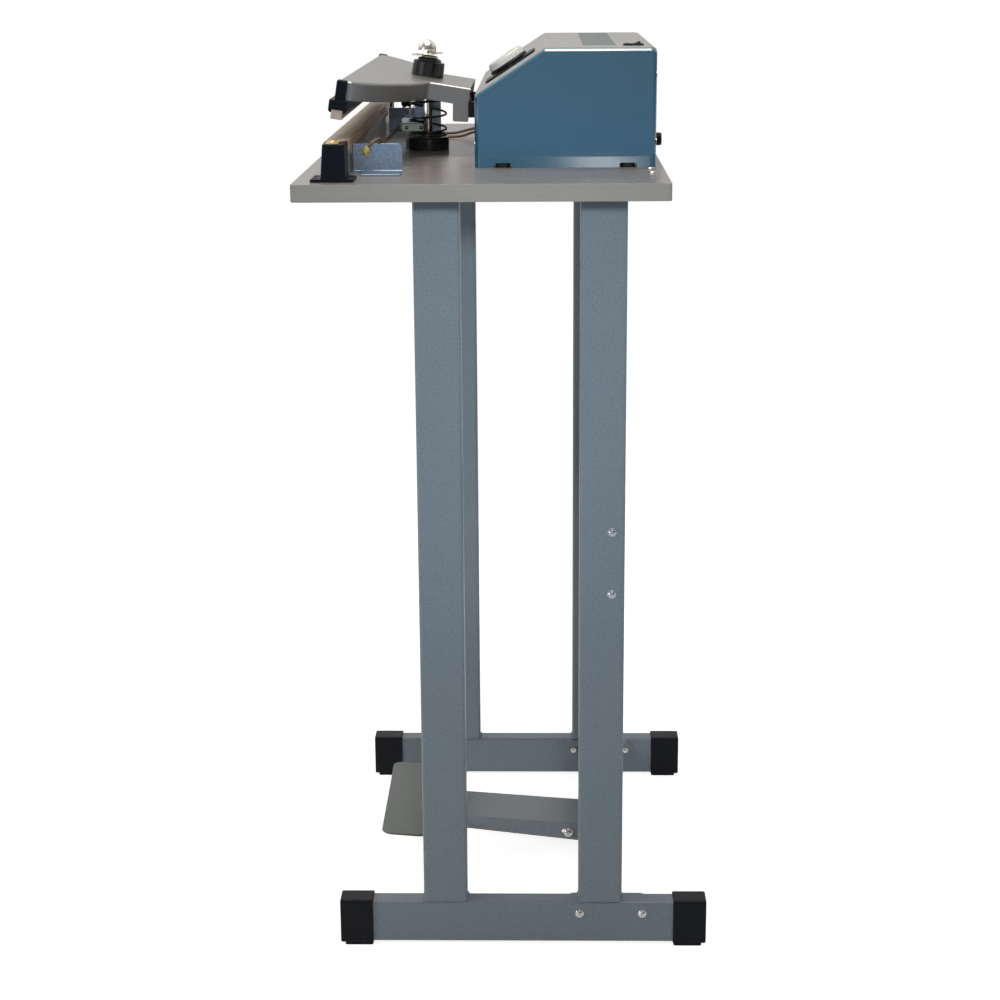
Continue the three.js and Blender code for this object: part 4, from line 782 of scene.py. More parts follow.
def stand():
    beads = bmesh.new()
    for side, sign in SIDES:
        x, inward, outer, short = (sign * reach for reach in (LEG_X, LEG_IN, LEG_OUT, LEG_OUT - 2))
        for end in ("front", "rear"):
            y0, y1 = span(f"leg_{end}_{side}", "Y")
            piece(f"leg_tube_{end}_{side}", tube(x, (y0 + y1) / 2, "Z", BAR_TOP, LEG_TOP), "stand_paint",
                  f"leg_{end}_{side}", bevel=0.35, corner=50)
            weld_bead(beads, [(short, y0, BAR_TOP), (inward, y0, BAR_TOP), (inward, y1, BAR_TOP),
                              (short, y1, BAR_TOP)])
            weld_bead(beads, [(outer, y0 + 1, LEG_TOP), (inward, y0, LEG_TOP), (inward, y1, LEG_TOP),
                              (outer, y1 - 1, LEG_TOP), (outer, y0 + 1, LEG_TOP)])
        bar = tube(x, BAR_TOP - TUBE_DEEP, "Y", *span(f"foot_bar_{side}", "Y"))
        piece(f"foot_bar_tube_{side}", bar, "stand_paint", f"foot_bar_{side}", bevel=0.35, corner=50)
        foot_cap(f"front_{side}", 1)
        foot_cap(f"rear_{side}", -1)
        front, rear = span(f"top_plate_{side}", "Y")
        plate = run(rectangle(x - TUBE_DEEP, front, x + TUBE_DEEP, rear, 5, 5), "Z", LEG_TOP, TABLE_UNDER)
        piece(f"table_plate_{side}", plate, "stand_paint", f"top_plate_{side}", bevel=0.5)
    piece("weld_beads", beads, "stand_paint", sharp=60)
    dressed("rear_crossmember", "stand_paint", bevel=1.2, rounds=4, corner=60)
    # The plates at the low tube's ends stay a little under the foot bars' tops
    low_tube, plate_x, plate_top = copied("pedal_crossmember"), LEG_IN - 6, BAR_TOP - 1.8
    for v in low_tube.verts:
        if abs(v.co.x) > plate_x:
            v.co.z = min(v.co.z, plate_top)
    piece("low_cross_tube", low_tube, "stand_paint", "pedal_crossmember", bevel=0.7)


def foot_cap(tag, inward):
    """A moulded sleeve over the bar's end, with a stepped sole set in from its outer face."""
    node = f"foot_cap_{tag}"
    x, y = middle(node, "X"), span(node, "Y")[0 if inward > 0 else 1]
    half, low, high = span(node, "X")[1] - x, 2.9, span(node, "Z")[1]
    clear = 0.3
    wide = TUBE_HALF + clear
    bm = bmesh.new()
    stations = [(1.6, 0.0), (0.7, 0.35), (0.15, 1.1), (0.0, 2.0), (0.0, 37.2), (0.35, 38.0)]
    rings = [ring(bm, rectangle(x - half + s, low + s, x + half - s, high - s, max(3.2 - s, 0.6), 5),
                  "Y", y + inward * d) for s, d in stations]
    bore = rectangle(x - wide, BAR_TOP - 2 * TUBE_DEEP - clear, x + wide, BAR_TOP + clear, 2.6, 5)
    rings += [ring(bm, bore, "Y", y + inward * d) for d in (38.0, 2.0)]
    skin(bm, rings)
    bm.faces.new(rings[0])
    bm.faces.new(rings[-1])
    y0, y1 = sorted((y + inward * 5.0, y + inward * 37.4))
    outlines = [rectangle(x - half + s, y0 + s - 0.9, x + half - s, y1 - s + 0.9, r, 4)
                for s, r in ((1.4, 2), (0.9, 2.4), (0.9, 2.4))]
    made = carved(bm, stack(outlines, "Z", [0.0, 0.5, 3.4]), how="UNION")
    piece(f"bar_end_cap_{tag}", made, "black_plastic", node, sharp=40)


# Table
def tabletop():
    """The board: laminate over it, a plain edge band round it, and a hole for the rod."""
    steps = [(1.1, TABLE_UNDER), (0.25, TABLE_UNDER + 0.3), (0.0, TABLE_UNDER + 0.9),
             (0.0, TABLE_TOP - 0.8), (0.2, TABLE_TOP - 0.25), (0.8, TABLE_TOP)]
    outline = rectangle(-TABLE_HALF, TABLE_FRONT, TABLE_HALF, TABLE_REAR)
    board = stack([rounded(inset(outline, s), 4 - s, 6) for s, _ in steps], "Z", [z for _, z in steps])
    board = carved(board, run(circle(0, ROD_Y, 6.5, 40), "Z", TABLE_UNDER - 5, TABLE_TOP + 5))
    mesh = piece("table_board", board, "table_board", "tabletop").data
    mesh.materials.append(EDGE_BAND)
    mesh.materials.append(BOARD_BACK)
    for face in mesh.polygons:
        if face.normal.z < -0.6:
            face.material_index = 2
        elif face.normal.z < 0.9 or face.center.z / MM < TABLE_TOP - 0.5:
            face.material_index = 1
    piece("rod_hole_ring", turned([(6.45, 0.0), (8.6, 0.0), (8.6, 0.3), (8.2, 0.6), (6.45, 0.6)], 40),
          "black_plastic", at=placed((0, ROD_Y, TABLE_UNDER - 0.6)))


# Control box
BOX_SIDE = [(BOX_REAR, TABLE_TOP), (BOX_REAR, BOX_TOP), (SLOPE_TOP_Y, BOX_TOP), (BOX_FRONT, SLOPE_FOOT_Z),
            (BOX_FRONT, TABLE_TOP)]


def flared(bm, sign):
    """Cuts the side's lower edge free and lets it stand out a little, as the pressed one does."""
    start, slope, bend, face_x = 14.0, 0.105, 3.0, BOX_HALF - 5.6
    for z in (start, start - bend / 2, start - bend):
        geometry = bm.verts[:] + bm.edges[:] + bm.faces[:]
        bmesh.ops.bisect_plane(bm, geom=geometry, plane_co=(0, 0, TABLE_TOP + z), plane_no=UP)
    for v in bm.verts:
        drop = TABLE_TOP + start - v.co.z
        if drop > 0.1 and abs(v.co.x) > face_x:
            v.co.x += sign * slope * (drop * drop / (2 * bend) if drop < bend else drop - bend / 2)
    return bm


def cover(side, sign):
    """A deep-drawn side cover: a flat face, a rounded edge and a rim over the panel's end."""
    edge, corner, rim = 6.6, 6.8, span("box_side_right", "X")[0]

    def row(gap, x, least):
        radius = max(corner - gap, least)
        flat = rounded(inset(BOX_SIDE, [gap, gap, gap, gap, 0]), [0, radius, radius, radius, 0], 5)
        return [(sign * x, p.x, p.y) for p in flat]
    shell = pressed(row, (rim, rim + 0.4, rim + 1), (rim, rim + 0.3, rim + 1), BOX_HALF, edge)
    tool = bmesh.new()
    for y in BOX_FEET_Y:
        arch = rectangle(y - 9.5, TABLE_TOP - 6, y + 9.5, TABLE_TOP + 5, 2.4, 4)
        run(arch, "X", *sorted((sign * (rim - 6), sign * (BOX_HALF + 7))), tool)
    piece(f"side_cover_{side}", flared(carved(shell, tool), sign), "box_paint", f"box_side_{side}", sharp=26)


def panel():
    """The wrapped sheet between the covers, bent at the front, at the slope and at the back."""
    outer = rounded(BOX_SIDE, [0, 4.4, 4.4, 3.4, 0], 5)
    inner = rounded(inset(BOX_SIDE, [1.2, 1.2, 1.2, 1.2, 0]), [0, 3.2, 3.2, 2.2, 0], 5)
    sheet = carved(run(outer + list(reversed(inner)), "X", *span("box_panel", "X")),
                   block(SWITCH_X - 6.2, SWITCH_X + 6.2, SWITCH_Y - 9.2, SWITCH_Y + 9.2,
                         BOX_TOP - 10, BOX_TOP + 10),
                   run(circle(INLET_X, INLET_Z, 6.3, 24), "Y", BOX_REAR - 10, BOX_REAR + 10))
    piece("wrapped_panel", sheet, "panel_paint", "box_panel", sharp=22)
    # A bare field on the box's top
    plate = run(rectangle(-190, 76.7, 150, 112.3, 1.5, 4), "Z", BOX_TOP + 0.02, BOX_TOP + 0.35)
    piece("blank_label", plate, LABEL_BLANK, bevel=0.12, rounds=2)
    heads = facing((0, 1, 0), [(x, BOX_REAR, z) for x in (212, -212) for z in (915, 985)])
    heads += facing((0, -1, 0), [(x, BOX_FRONT, 912) for x in (212, -212)])
    fasteners("cover_screws", pan_head(3.4, 2.0, flat=True), heads, 3)
    feet = bmesh.new()
    spots = [(x, y) for x in (209.5, -209.5) for y in BOX_FEET_Y]
    for x, y in spots:
        turned([(0, 0), (7.6, 0), (8.0, 0.5), (7.6, 3.6), (6.9, 4.3), (0, 4.4)], 32, feet,
               placed((x, y, TABLE_TOP)))
    piece("rubber_feet", feet, RUBBER)
    screws = facing(UP, [(x, y, TABLE_TOP + 4.4) for x, y in spots], 0.8)
    fasteners("foot_screws", pan_head(3.4, 0.5), screws, 5, LOOKS["black_metal"])


def dial():
    """The dial plate with plain numbers and ticks round the knob."""
    half, top = span("dial_plate", "X")[1] - KNOB_X, 2.0
    plate = run(rectangle(KNOB_X - half, SLOPE_MIDDLE - half, KNOB_X + half, SLOPE_MIDDLE + half, 5, 6),
                "Z", 0.03, top)
    piece("dial_plate_shown", plate, "black_plastic", "dial_plate", at=ON_SLOPE, bevel=0.5)
    centre = Vector((KNOB_X, SLOPE_MIDDLE))
    marks = bmesh.new()
    ticks, numbers = 21, range(0, 11, 2)

    def ray(share):
        return polar(1.0, radians(240 - 300 * share))
    for i in range(ticks):
        out = ray(i / (ticks - 1))
        half_wide, reach = (0.2, 24.6) if i % 2 else (0.35, 25.6)
        side = Vector((-out.y, out.x)) * half_wide
        a, b = centre + out * 23.4, centre + out * reach
        run([a - side, b - side, b + side, a + side], "Z", top, top + 0.06, marks)
    for i in numbers:
        at = centre + ray(i / 10) * 28.2
        letter = bpy.data.curves.new("number", "FONT")
        letter.body, letter.size, letter.extrude = str(i), 4.6, 0.03
        letter.align_x, letter.align_y = "CENTER", "CENTER"
        mesh = baked(on_scene("number", letter))
        mesh.transform(placed((at.x, at.y, top + 0.03)))
        marks.from_mesh(mesh)
    piece("dial_marks", marks, DIAL_MARKS, at=ON_SLOPE)


def knob():
    """A pale knob with fluted sides, a shallow dished top and a pointer line."""
    steps, flutes, radius = 180, 36, span("timer_knob", "X")[1] - KNOB_X
    profile = [(0.60, 6.3, 0.0), (0.96, 6.3, 0.0), (0.985, 6.6, 0.6), (0.985, 7.4, 1.0), (0.965, 11.0, 1.0),
               (0.95, 12.2, 0.6), (0.92, 13.3, 0.2), (0.87, 14.15, 0.0), (0.80, 14.5, 0.0),
               (0.74, 14.45, 0.0), (0.68, 14.1, 0.0), (0.35, 13.6, 0.0)]
    turns = [2 * pi * i / steps for i in range(steps)]
    bm = bmesh.new()
    rows = [[bm.verts.new((*polar(radius * share - 0.45 * cut * max(0.0, cos(a * flutes)) ** 2, a), z))
             for a in turns] for share, z, cut in profile]
    skin(bm, rows)
    middle = bm.verts.new((0, 0, 13.45))
    for one, two in zip(rows[-1], rows[-1][1:] + rows[-1][:1]):
        bm.faces.new((one, two, middle))
    bm.faces.new(rows[0])
    at = ON_SLOPE @ placed((KNOB_X, SLOPE_MIDDLE, 0))
    piece("knob_shown", bm, "pale_plastic", "timer_knob", at=at, sharp=40)
    # The black skirt under the knob is partly a real base ring and partly painted shade: it widens the dark
    # band that the knob's shadow makes on the slope.
    skirt = turned([(0, 3.0), (22.4, 3.0), (22.9, 3.4), (22.9, 4.6), (22.0, 5.9), (21.0, 6.5), (0, 6.5)], 72)
    piece("knob_skirt", skirt, "black_plastic", body="knob", at=at)
    pointer = run(rectangle(-0.7, 4.5, 0.7, 15.0, 0.5, 3), "Z", 13.3, 14.2)
    piece("knob_pointer", pointer, "black_plastic", body="knob",
          at=at @ Matrix.Rotation(radians(35), 4, "Z"))


def power_switch():
    x, y = SWITCH_X, SWITCH_Y
    outlines = [rectangle(x - 8 + s, y - 11 + s, x + 8 - s, y + 11 - s, r, 4)
                for s, r in ((0, 1.2), (0, 1.2), (0.6, 1.0))]
    bezel = stack(outlines, "Z", [BOX_TOP, BOX_TOP + 1.3, BOX_TOP + 2.0])
    block(x - 6, x + 6, y - 9, y + 9, BOX_TOP - 18, BOX_TOP + 1, bezel)
    made = carved(bezel, block(x - 5.7, x + 5.7, y - 8.7, y + 8.7, BOX_TOP - 9, BOX_TOP + 5))
    piece("switch_frame", made, "black_plastic", "power_switch")
    tabs = bmesh.new()
    for dy in (-5, 0, 5):
        block(x - 2.4, x + 2.4, y + dy - 0.4, y + dy + 0.4, BOX_TOP - 26, BOX_TOP - 17.5, tabs)
    piece("switch_tabs", tabs, "brass")

    reach, keel, top, dip = 7.8, 3.9, 3.5, 1.5
    points = [(-reach, 0.0), (-keel, -keel)]
    points += [polar(keel, pi + pi * k / 12, 0.0, -keel) for k in range(1, 12)]
    points += [(keel, -keel), (reach, 0.0), (reach, top), (0.0, top - dip), (-reach, top)]
    piece("rocker_shown", run(points, "X", -5.4, 5.4), "black_plastic", "power_rocker", at=ON_ROCKER,
          bevel=0.35)
    bar = run(rectangle(-0.3, -1.6, 0.3, 1.6), "Z", -0.03, 0.04)
    loop = pipe(circle(0, 0, 1.7, 28), circle(0, 0, 1.2, 28), "Z", -0.03, 0.04)
    marks, lean = bmesh.new(), atan2(dip, reach)
    for mark, way in ((bar, 1), (loop, -1)):
        marks.from_mesh(mesh_of(mark, "mark", place=placed((0, way * 4.1, top - 0.70), way * lean)))
    piece("rocker_marks", marks, DIAL_MARKS, body="rocker", at=ON_ROCKER)


def inlet():
    """The ribbed gland that the mains lead goes into, at the back of the box."""
    profile = [(4.0, -10), (6.0, -10), (6.0, 0.0), (8.0, 0.0), (8.0, 1.6), (7.5, 2.0)]
    for z in (2.2, 4.2, 6.2):
        profile += [(7.4, z), (7.4, z + 0.5), (6.7, z + 0.8), (6.7, z + 1.6)]
    profile += [(6.6, 8.5), (6.2, 9.0), (4.6, 9.0), (4.0, 8.5)]
    piece("gland_shown", turned(profile, 40), "black_plastic", "cord_inlet",
          at=towards((0, 1, 0), (INLET_X, BOX_REAR, INLET_Z)))


def inside_box():
    """What the closed box hides: tray, transformer, timer board and potentiometer."""
    dressed("box_base", "bare_steel", bevel=0.3, rounds=2)
    dressed("transformer", "winding", bevel=0.8, rounds=2)
    dressed("timer_board", "circuit_board", bevel=0.2, rounds=2)
    dressed("timer_potentiometer", "bare_steel", bevel=0.3, rounds=2)


# Lower jaw
def seal_bar():
    front, rear = span("seal_bar", "Y")
    low, top = span("seal_bar", "Z")
    outer = [(rear, low), (rear, top), (front, top), (front, low)]
    line = rounded(outer, [0, 1.6, 1.6, 0], 4)
    under = rounded(inset(outer, [3, 3, 3, 0]), [0, 0.8, 0.8, 0], 4)
    piece("seal_bar_shown", run(line + list(reversed(under)), "X", *span("seal_bar", "X")),
          "aluminium_bar", "seal_bar", bevel=0.25, rounds=2)
    strip_front, strip_rear = span("heating_strip", "Y")
    ribbon = run(rectangle(strip_front, top, strip_rear, span("heating_strip", "Z")[1]), "X",
                 *span("heating_strip", "X"))
    piece("heating_strip_shown", ribbon, "bare_steel", "heating_strip", bevel=0.08, rounds=1)


def cloth():
    """The coated cloth: stretched over the bar with slight waves down its skirts."""
    top, fold, count = CLOTH_TOP, 2.2, 240
    start, end = span("heat_cloth", "X")
    out = span("heat_cloth", "Y")[1] - JAW_Y
    path = [(out, CLOTH_LOW), (out, top - 2.4)]
    path += [(out - fold + fold * cos(t), top - fold + fold * sin(t))
             for t in map(radians, (10, 30, 50, 70, 90))]
    path += [(6.5, top), (3.4, top), (2.9, top)]
    path = path + [(0.0, top)] + [(-u, v) for u, v in reversed(path)]
    bm = bmesh.new()
    rows = []
    for i in range(count + 1):
        x = start + (end - start) * i / count
        row = []
        for k, (u, v) in enumerate(path):
            side = 1 if u > 0 else -1
            skirt = max(0.0, (top - 2.4 - v) / 10.6)
            wave = 0.45 * skirt * (sin(x * 0.045 + (1 if u > 0 else 3)) + 0.5 * sin(x * 0.13 + k))
            ridge = 0.10 * sin(x * 0.21 + u) * (1 if abs(u) < 9 else 0.3)
            row.append(bm.verts.new((x, JAW_Y + u + side * wave * (abs(u) > 11),
                                     v - abs(ridge) * (v > top - 1))))
        rows.append(row)
    mesh = mesh_of(skin(bm, rows, closed=False), "cloth", MM)
    centre = Vector((0, JAW_Y, 900)) * MM
    if sum(f.normal.dot(f.center - centre) for f in mesh.polygons) < 0:
        mesh.flip_normals()
    made = on_scene("cloth_flat", mesh)
    thick = made.modifiers.new("cloth", "SOLIDIFY")
    thick.thickness, thick.offset = 0.3 * MM, -1
    made = piece("coated_cloth_shown", baked(made), "coated_cloth", "heat_cloth", sharp=50)
    clamps = bmesh.new()
    for sign in (1, -1):
        near, far = sorted((JAW_Y + sign * 12.2, JAW_Y + sign * 13.2))
        run(rectangle(near, 909.5, far, 914.5, 0.3, 2), "X", -304, 304, clamps)
    piece("cloth_clamps", clamps, "aluminium_bar")


def end_block(side, sign):
    """A moulded block on a flange, with a recess for the strip's terminal; returns its screws' spots."""
    x0, x1 = span("end_block_right", "X")
    strip_under, strip_top = span("heating_strip", "Z")
    flange_top, tower_top, plate_top = TABLE_TOP + 3, 926, strip_top + 2.2

    def shape(xa, xb, ya, yb, r=1.6):
        a, b = sorted((sign * xa, sign * xb))
        return rectangle(a, JAW_Y - ya, b, JAW_Y + yb, r, 4)
    flange = stack([shape(x0, x1, 22, 22, 2.2), shape(x0, x1, 22, 22, 2.2),
                    shape(x0 + 0.4, x1 - 0.4, 21.5, 21.5, 2.0)],
                   "Z", [TABLE_TOP, flange_top - 0.6, flange_top])
    tower = stack([shape(x0, x1, 11.2, 14.2), shape(x0 + 0.3, x1 - 0.5, 8.6, 13.7),
                   shape(x0 + 0.9, x1 - 1.1, 8.0, 13.1)], "Z", [TABLE_TOP + 1, tower_top - 0.6, tower_top])
    pocket = stack([shape(x0 - 1, x1 - 6.0, 6.6, 8.6, 0.8), shape(x0 - 1, x1 - 5.6, 6.9, 8.9, 0.8)],
                   "Z", [strip_under, tower_top + 2])
    groove = run(shape(x0 - 1, x1 - 6.5, 3.4, 3.4, 0.5), "Z", strip_under - 0.3, tower_top)
    bm = carved(carved(flange, tower, how="UNION"), pocket, groove)
    piece(f"jaw_end_block_{side}", bm, "black_plastic", f"end_block_{side}", bevel=0.35, rounds=2, corner=40)
    # Brass terminal plate over the strip's end
    near = x0 + 8.5
    piece(f"terminal_plate_{side}", run(shape(near, near + 26, 6.3, 7.5, 1.2), "Z", strip_top, plate_top),
          "brass", f"terminal_{side}", bevel=0.3, rounds=2)
    return (facing(UP, [(sign * (near + x), JAW_Y, plate_top) for x in (7, 19)]),
            facing(UP, [(sign * x, JAW_Y + y, flange_top) for x in (x0 + 9, x1 - 9) for y in (18.2, -18.2)]))


def bracket(side, sign):
    """A zinc-plated angle: an upright that takes the lead's lug, bent into a foot; returns its screws."""
    y0, y1 = span("end_bracket_right", "Y")
    x0, x1 = span("end_bracket_right", "X")
    low, top = span("end_bracket_right", "Z")
    thick = 2
    outline = [(sign * x, z) for x, z in ((x0, top), (x0, low), (x1, low), (x1, low + thick),
                                          (x0 + thick, low + thick), (x0 + thick, top))]
    radii = [0.3, 2.6, 0.3, 0.3, 0.8, 0.3]
    if sign < 0:
        outline.reverse()
        radii.reverse()
    corner = run([Vector((y1 + 1, top + 1)), Vector((y1 - 4, top + 1)), Vector((y1 + 1, top - 4))], "X",
                 *sorted((sign * (x0 - 8), sign * (x0 + 4))))
    notch = block(*sorted((sign * (x0 + 3.2), sign * (x1 + 2))), y0 - 1, y0 + 10.5, low - 1, low + 3)
    bm = carved(run(rounded(outline, radii, 4), "Y", y0, y1), corner, notch)
    piece(f"bracket_shown_{side}", bm, "zinc_sheet", f"end_bracket_{side}", bevel=0.25, rounds=2, corner=50)
    return facing(UP, [(sign * (x1 - 8), y, low + thick) for y in (y0 + 11, y1 - 11)])


def catmull(points):
    """The centripetal curve through the points that the leads follow."""
    per_gap = 10
    at = [Vector(p) for p in points]
    at = [at[0] * 2 - at[1], *at, at[-1] * 2 - at[-2]]
    made = []
    for p0, p1, p2, p3 in zip(at, at[1:], at[2:], at[3:]):
        d0, d1, d2 = ((a - b).length ** 0.5 for a, b in ((p1, p0), (p2, p1), (p3, p2)))
        t1 = ((p1 - p0) / d0 - (p2 - p0) / (d0 + d1) + (p2 - p1) / d1) * d1
        t2 = ((p2 - p1) / d1 - (p3 - p1) / (d1 + d2) + (p3 - p2) / d2) * d1
        for k in range(per_gap):
            t = k / per_gap
            made.append(p1 * (2 * t ** 3 - 3 * t ** 2 + 1) + t1 * (t ** 3 - 2 * t ** 2 + t)
                        + p2 * (3 * t ** 2 - 2 * t ** 3) + t2 * (t ** 3 - t ** 2))
    return made + [at[-2]]


# The leads' routes: outwards from the middle, back from the jaw's line, up from the table
LEAD_START = [(262.3, 27, 21), (268, 28, 24), (270, 33, 30), (265, 39, 34.5), (256, 41.5, 34.5)]
LEAD_ROUTES = {
    "right": [(238, 42, 29), (205, 42, 26.5), (150, 42, 25), (90, 42, 24.5), (30, 42, 24.5),
              (-30, 42, 24.5), (-80, 42, 23), (-112, 45, 18), (-132, 56, 10), (-140, 76, 4),
              (-142, 96, 2.2), (-142, 114, 4), (-142, 126, 8), (-142, 134, 9.5), (-142, 139.6, 9.5)],
    "left": [(243, 42, 27), (228, 45, 17), (216, 53, 7), (206, 68, 2.2), (200, 86, 2.2),
             (197, 104, 3), (196, 120, 7), (196, 132, 9.5), (196, 139.6, 9.5)]}


def lead(side, sign):
    """A sleeved feed lead from its lug on the bracket back into the box; returns its screw's spot."""
    points = LEAD_START + LEAD_ROUTES[side]
    route = catmull([(sign * x, JAW_Y + y, TABLE_TOP + z) for x, y, z in points])
    made = piece(f"lead_{side}", swept(route, 1.75, 14), "lead_sleeve", f"feed_lead_{side}", sharp=60)
    lug_x, lug_y, lug_z = 260, -153, 909
    centre = Vector((sign * lug_x, lug_y, lug_z))
    lug = turned([(2.2, 0), (5.0, 0), (5.0, 1.0), (2.2, 1.0)], 28, place=towards((sign, 0, 0), centre))
    barrel = ((0.9, 2.6, 0.6), (1.4, 4.2, 1.6), (2.0, 5.5, 2.6))
    swept([centre + Vector((sign * x, y, z)) for x, y, z in barrel], [1.5, 1.7, 1.9], 14, lug)
    piece(f"lead_lug_{side}", lug, "brass", sharp=40)
    sleeve = swept(route[1:17], [2.6, 3.1] + [3.2] * 12 + [2.9, 2.3], 16)
    piece(f"lug_sleeve_{side}", sleeve, YELLOW_SLEEVE, sharp=50)
    return facing((sign, 0, 0), [(sign * (lug_x + 1), lug_y, lug_z)])


# Upper arm

# The slot in the arm, its bush and its washer that lets the rod stay upright, in the arm's frame
ROD_SLOT = rectangle(-5.3, -58.5, 5.3, -38, 5.2, 8)
BUSH_Y = -49


def arm_row(gap, z, _):
    """The arm's outline moved in by a gap, its corners rounded, as a row of points that is open behind."""
    start, pull, end = Vector((-88.0, -43.0)), Vector((-212.5, -62.0)), Vector((-275.0, -112.0))
    steps = 24
    curve = [start * (1 - t) ** 2 + pull * 2 * t * (1 - t) + end * t * t
             for t in (k / steps for k in range(steps + 1))]
    left = [Vector((-88, 5))] + curve + [Vector((-275, -126.5))]
    base = left + [Vector((-p.x, p.y)) for p in reversed(left)]
    count = len(base)
    flat = inset(base, [gap] * (count - 1) + [0.0])
    radii = [0.0] * count
    neck, tip = 1, 1 + steps
    for i in (neck, count - 1 - neck):
        radii[i] = 4.0 + gap
    for i in (tip, tip + 1, count - 1 - tip, count - 2 - tip):
        radii[i] = max(5.0 - gap, 0.8)
    return [(p.x, p.y, z) for p in rounded(flat, radii, 5)]


def arm():
    """The pressed arm: wings, neck and two ears for the pin, with a slot for the pull rod."""
    rim = (5.0, 5.3, 5.8)
    shell = pressed(arm_row, rim, rim, 25, 3.4)
    ears = bmesh.new()
    ear = rounded([(-9.4, -14.6), (8.2, -12.6), (4.9, 8), (-12.6, 8)], [2, 2, 0.5, 0.5], 5)
    for x in (86.0, -88.0):
        run(ear, "X", x, x + 2, ears)
    shell = carved(carved(shell, ears, how="UNION"), run(circle(0, 0, 5.3, 32), "X", -95, 95),
                   run(ROD_SLOT, "Z", 15, 35))
    piece("pressed_arm", shell, "arm_paint", "arm", at=ON_ARM, sharp=32)


def press_bar():
    y, bottom, half, groove, pad = JAW_Y - HINGE_Y, -8.0, 9.25, 6.15, 5.85
    profile = [(-half, 5), (-half, bottom + 2), (-half + 2, bottom), (-groove, bottom),
               (-groove, bottom + 3.3)]
    profile += [(-u, v) for u, v in reversed(profile)]
    bar = run([Vector((y + u, v)) for u, v in profile], "X", *span("press_bar", "X"))
    piece("press_bar_shown", bar, "black_plastic", "press_bar", at=ON_ARM, bevel=0.3, rounds=2)
    low = CLOTH_TOP + 0.4 - HINGE_Z
    outline = [(y - pad, low), (y + pad, low), (y + pad, bottom + 3), (y - pad, bottom + 3)]
    pad_strip = run(rounded(outline, [1.0, 1.0, 0.2, 0.2], 4), "X", *span("silicone_strip", "X"))
    piece("silicone_shown", pad_strip, "silicone", "silicone_strip", at=ON_ARM, bevel=0.3, rounds=2)
    start, end = span("arm_cap_right", "X")
    stations = [(-0.1, start), (0.0, start + 0.2), (0.0, end - 1.2), (-0.4, end - 0.4), (-1.0, end)]
    caps = [rectangle(-127.3 - g, 4.4 - g, -116.6 + g, 25.6 + g, 1.8 + g, 5) for g, _ in stations]
    for side, sign in SIDES:
        piece(f"arm_tip_{side}", stack(caps, "X", [sign * x for _, x in stations]), "black_plastic",
              f"arm_cap_{side}", at=ON_ARM, sharp=28)


def arm_fittings():
    """The stepped bush and its chromed washer, both slotted for the rod's swing, and the nut's washer."""
    profile = [(0, 25.3), (18.5, 25.3), (18.75, 25.7), (18.1, 40.8), (17.8, 41.6), (17.2, 42.0),
               (14.4, 42.0), (14.0, 42.4), (13.6, 44.2), (12.6, 45.4), (10.0, 46.3), (0, 46.7)]
    tool = run(ROD_SLOT, "Z", 20, 55)
    for angle in (35, 145, 215, 325):
        notch = polar(18.9, radians(angle), 0.0, BUSH_Y)
        run(circle(notch.x, notch.y, 1.6, 16), "Z", 33, 50, tool)
    bush = carved(turned(profile, 64, place=placed((0, BUSH_Y, 0))), tool)
    piece("bush_shown", bush, GLOSS_BLACK, "arm_bush", at=ON_ARM, sharp=32)
    washer = turned([(0, 46.9), (9.6, 46.9), (10.0, 47.2), (9.8, 48.0), (8.6, 48.8), (0, 49.3)], 64,
                    place=placed((0, BUSH_Y, 0)))
    piece("washer_shown", carved(washer, run(ROD_SLOT, "Z", 40, 55)), "chrome", "rod_washer", at=ON_ARM,
          sharp=32)
    plain = turned([(5.4, -0.55), (17.9, -0.55), (18.3, -0.3), (18.4, 0.1), (18.2, 0.5), (17.8, 0.6),
                    (5.4, 0.6)], 64)
    piece("nut_washer", plain, "chrome", body="rod", at=placed((0, ROD_Y, 997.9), radians(2.4)))


def hinge():
    # The hinge bracket is black partly as its own finish and partly as painted shade for the shadowed gap
    # between the arm's ears and the box.
    dressed("hinge_bracket", "black_metal", bevel=0.6)
    end, edge = span("hinge_pin", "X")[1], 0.05
    half = [(0, end), (5.21, end), (5.26, end - edge)]
    pin = turned([(r, -x) for r, x in half] + half[::-1], 40)
    piece("hinge_pin_shown", pin, LOOKS["arm_paint"], "hinge_pin",
          at=towards((1, 0, 0), (0, HINGE_Y, HINGE_Z)))


# Pull rod and spring
def pull_rod():
    low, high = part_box("pull_rod")
    eye_z, top = low.z / MM + 9, high.z / MM
    rod = turned([(0, eye_z + 5), (5, eye_z + 5), (5, top - 1), (4.4, top), (0, top)],
                 place=placed((0, ROD_Y, 0)))
    eye = turned([(5.2, -4), (8.4, -4), (9, -3.4), (9, 3.4), (8.4, 4), (5.2, 4)],
                 place=towards((1, 0, 0), (0, ROD_Y, eye_z)))
    piece("rod_and_eye", carved(rod, eye, how="UNION"), "chrome", "pull_rod", sharp=32)

    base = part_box("cap_nut")[0].z / MM - 1.6
    six = hexagon(11.6, 0)
    nut = stack([[p * 0.93 for p in six], six, six, [p * 0.92 for p in six]], "Z", [1.62, 2.3, 5.0, 5.9])
    dome = [(0, 4.0), (10.3, 4.0), (10.3, 6.2)]
    dome += [(10.3 * cos(t), 6.2 + 11.3 * sin(t)) for t in (radians(a) for a in range(8, 90, 8))]
    nut = carved(nut, turned(dome + [(0, 17.5)]), how="UNION")
    nut = carved(nut, run(circle(0, 0, 5.2, 32), "Z", -2, 12))
    piece("dome_nut", nut, "chrome", "cap_nut", at=placed((0, ROD_Y, base)), bevel=0.25, rounds=2, corner=24)

    seat = turned([(5.3, 0), (23.4, 0), (24, 0.6), (24, 12.6), (23.5, 13.9), (22.3, 14.8), (21.0, 15.0),
                   (6.2, 15.0), (5.3, 14.2)], 72)
    piece("seat_shown", seat, GLOSS_BLACK, "spring_seat", at=placed((0, ROD_Y, TABLE_TOP)), sharp=32)


